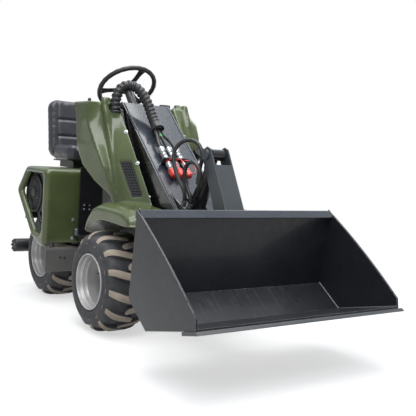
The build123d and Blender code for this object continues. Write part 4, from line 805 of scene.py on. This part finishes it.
# Folded bar along the top of the bucket's back, facing up and forward
bm = bmesh.new()
BAR_SECTION = [(-637, 677), (-646, 677.5), (-649, 676), (-668, 648), (-668, 645), (-664, 642), (-641, 642)]
bridge(bm, [[at(x, y, z) for y, z in BAR_SECTION] for x in (-546, 546)], caps=True)
emit("bucket_top_bar", bm, [BOOM], "bucket", smooth=False)

# Recoil guard on the fan, and cooling fins on the engine
fan = at(-378, 943, 630)
bm = bmesh.new()
for k in range(26):
    swept(bm, [fan + Vector((0, cos(a), sin(a))) * r for r, a in ((r / 1000, 2 * pi * k / 26 + (r - 32) / 110)
                                                                  for r in range(32, 116, 12))], 0.0034, 8)
turned(bm, fan, (-1, 0, 0), [(-16, 119), (2, 119), (4, 116), (4, 110), (-2, 108)], 72)
turned(bm, fan, (-1, 0, 0), [(-3, 78), (4, 78), (5, 76), (5, 73), (-3, 72)], 72)
turned(bm, fan, (-1, 0, 0), [(0, 36), (6, 35), (9, 31), (10, 12)], 48)
emit("recoil_guard", bm, [ENGINE_BLACK], "rear_frame")
bm = bmesh.new()
for z in range(530, 690, 12):
    for x in (-1, 1):
        cube(bm, (min(x * 128, x * 165), 690, z), (max(x * 128, x * 165), 830, z + 4))
emit("cooling_fins", bm, [CASTING], "rear_frame")

# Steering wheel: soft rim with finger swells, three cranked spokes and a domed hub
WHEEL_LEAN = radians(40)
WHEEL_AT, WHEEL_UP = at(0, 530, 1281), Vector((0, sin(WHEEL_LEAN), cos(WHEEL_LEAN)))
WHEEL_BACK = Vector((0, cos(WHEEL_LEAN), -sin(WHEEL_LEAN)))
# Spoke sections: distance out, rise, half width, half thickness
SPOKE = [(18, -6, 24, 7), (50, -6, 19, 7), (84, -4, 16, 6.5), (118, -1, 17, 6.5), (142, 0, 21, 7), (158, 0, 30, 7.5)]
bm = bmesh.new()
rim_rings = []
for i in range(144):
    a = 2 * pi * i / 144
    out = Vector((1, 0, 0)) * cos(a) + WHEEL_BACK * sin(a)
    r = 13.4 + 0.5 * cos(24 * a)
    rim_rings.append([WHEEL_AT + out * (165 + r * cos(b)) / 1000 + WHEEL_UP * r * sin(b) / 1000
                      for b in (2 * pi * k / 20 for k in range(20))])
bridge(bm, rim_rings + rim_rings[:1])
for k in range(3):
    a = radians(42 + 120 * k)
    out = Vector((1, 0, 0)) * cos(a) + WHEEL_BACK * sin(a)
    side = out.cross(WHEEL_UP)
    rows = []
    for far, rise, wide, thick in SPOKE:
        middle = WHEEL_AT + out * far / 1000 + WHEEL_UP * rise / 1000
        rows.append([middle + (side * wide * cos(b) + WHEEL_UP * thick * sin(b)) / 1000
                     for b in (2 * pi * j / 20 for j in range(20))])
    bridge(bm, rows, caps=True)
turned(bm, WHEEL_AT, WHEEL_UP, [(-30, 22), (-26, 30), (-10, 36), (4, 36), (9, 34), (12, 28), (14, 16)], 64)
bmesh.ops.remove_doubles(bm, verts=bm.verts, dist=1e-6)
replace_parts(emit("spoked_wheel", bm, [PLASTIC], "steering_wheel"), "steering_wheel")

# Shroud round the engine with louvres, and a black sheet behind each window as painted shade for the engine bay seen
# through it
bm = bmesh.new()
SHROUD = [(700, 400), (690, 415), (690, 720), (712, 756), (900, 758), (960, 742), (1096, 625), (1100, 600), (1100, 420),
          (1085, 400)]
SHROUD_SIDES = ((-296, 0.96), (-293, 0.985), (-286, 1.0), (286, 1.0), (293, 0.985), (296, 0.96))
bridge(bm, [[at(x, 890 + (y - 890) * size, 590 + (z - 590) * size) for y, z in SHROUD] for x, size in SHROUD_SIDES],
       caps=True)
for way in (-1, 1):
    for number in range(7):
        z = 530 + 26 * number
        low, high = sorted((way * 292, way * 302))
        cube(bm, (low, 740, z), (high, 900, z + 9))
for number in range(5):
    cube(bm, (-230, 1098, 440 + 30 * number), (230, 1106, 452 + 30 * number))
# Black sheets standing in for the shade inside the engine bay behind each window
WINDOW_SHADE_SHEET = [(695, 440), (695, 735), (705, 745), (900, 748), (960, 736), (1088, 634), (1068, 598), (1000, 535),
           (940, 527), (860, 524), (770, 506)]
for way in (-1, 1):
    bridge(bm, [[at(way * x, y, z) for y, z in WINDOW_SHADE_SHEET] for x in (366, 371)], caps=True)
    low, high = sorted((way * 290, way * 371))
    cube(bm, (low, 1084, 455), (high, 1092, 640))
    for y in (715, 745, 775):
        cube(bm, (min(way * 370, way * 374), y, 540), (max(way * 370, way * 374), y + 8, 715))
emit("engine_shroud_and_shade_sheets", bm, [ENGINE_BLACK], "rear_frame", smooth=False)

# Short cranked lever on its bracket
bm = bmesh.new()
cube(bm, (-158, 460, 1105.5), (-120, 515, 1135.5))
LEVER = [(-140, 490, 1128), (-146, 512, 1150), (-196, 588, 1160), (-204, 598, 1196)]
swept(bm, line_of(route("lever", [at(*place) for place in LEVER], 24))[0], 0.006, 20)
turned(bm, at(-203.6, 597.6, 1180), (0, 0, 1), [(0, 6.4), (3, 8.6), (14, 10), (22, 9), (26, 5)], 36)
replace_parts(emit("short_lever", bm, [PLASTIC], "front_frame"), "control_lever")

# Ribbed filler cap and the lamp
bm = bmesh.new()
turned(bm, at(198, 420, 1170.5), (0, 0, 1), [(0, 25), (7, 25), (8, 31), (10, 32), (22, 32), (25, 29), (26, 20)],
       96, 24, 1.6)
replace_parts(emit("ribbed_filler_cap", bm, [PLASTIC], "front_frame"), "filler_cap")
aim = Vector((0, -84, 55)).normalized()
bm = bmesh.new()
turned(bm, at(300, 222, 900) + aim * 0.0243, aim,
       [(0, 30), (2, 34), (6, 36), (30, 36), (34, 35.5), (41, 36), (42, 34), (42, 31), (38, 30), (36, 26), (39, 8)], 64)
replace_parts(emit("lamp_body", bm, [PLASTIC], "front_frame"), "side_lamp")

# Floor, light and white surroundings
bpy.ops.mesh.primitive_plane_add(size=60, location=(0, 0, -0.001))
floor = bpy.context.object
floor.name = "floor"
floor_mat, n = material("floor")
rays = n.add("LightPath")
seen = n.math("MAXIMUM", rays.outputs["Is Camera Ray"],
              n.math("MAXIMUM", rays.outputs["Is Glossy Ray"], rays.outputs["Is Transmission Ray"]))
far = n.add("VectorMath", _operation="LENGTH", i0=n.add("TexCoord").outputs["Object"]).outputs["Value"]
fade = n.add("MapRange", _interpolation_type="SMOOTHSTEP", Value=far, i1=0.9, i2=2.6, i3=0.0, i4=1.0).outputs[0]
matt = n.add("BsdfDiffuse", Color=(0.5, 0.5, 0.5, 1)).outputs[0]
shaded = n.add("AddShader", i0=n.add("BsdfDiffuse", Color=(0.42, 0.42, 0.42, 1)).outputs[0],
               i1=n.add("Emission", Color=(1, 1, 1, 1), Strength=0.58).outputs[0]).outputs[0]
white = n.add("Emission", Color=(1, 1, 1, 1), Strength=1.0).outputs[0]
pale = n.add("MixShader", i0=fade, i1=shaded, i2=white).outputs[0]
n.add("OutputMaterial", Surface=n.add("MixShader", i0=seen, i1=matt, i2=pale).outputs[0])
floor.data.materials.append(floor_mat)

world = bpy.data.worlds.new("studio")
scene.world = world
n = Nodes(world)
rays = n.add("LightPath")
height = n.add("SeparateXYZ", Vector=n.add("TexCoord").outputs["Generated"]).outputs["Z"]
seen = n.math("MAXIMUM", rays.outputs["Is Camera Ray"], rays.outputs["Is Transmission Ray"])
ceiling = n.add("MapRange", Value=height, i1=-0.1, i2=0.85, i3=0.14, i4=0.75).outputs[0]
mirrored = n.add("MapRange", Value=height, i1=0.0, i2=0.6, i3=0.28, i4=1.0).outputs[0]
strength = n.add("Mix", i0=rays.outputs["Is Glossy Ray"], i2=ceiling, i3=mirrored).outputs[0]
strength = n.add("Mix", i0=seen, i2=strength, i3=1.0).outputs[0]
colour = n.mix(seen, (0.90, 0.95, 1.0), (1.0, 1.0, 1.0))
n.add("OutputWorld", Surface=n.add("Background", Color=colour, Strength=strength).outputs[0])

# Soft boxes; columns: name, place, aim, size in metres, watts
for name, place, aim, size, watts in [
        ("key", (-2.4, -2.8, 4.6), (0, -0.2, 0.5), 3.0, 130.0),
        ("top", (0.2, -0.3, 5.2), (0, 0, 0.6), 4.6, 270.0),
        ("rim", (3.4, 2.4, 3.0), (0, 0, 0.7), 3.0, 40.0)]:
    lamp = bpy.data.objects.new(name, bpy.data.lights.new(name, "AREA"))
    lamp.data.shape, lamp.data.size, lamp.data.energy = "DISK", size, watts
    lamp.location = place
    lamp.rotation_euler = (Vector(aim) - Vector(place)).to_track_quat("-Z", "Y").to_euler()
    scene.collection.objects.link(lamp)
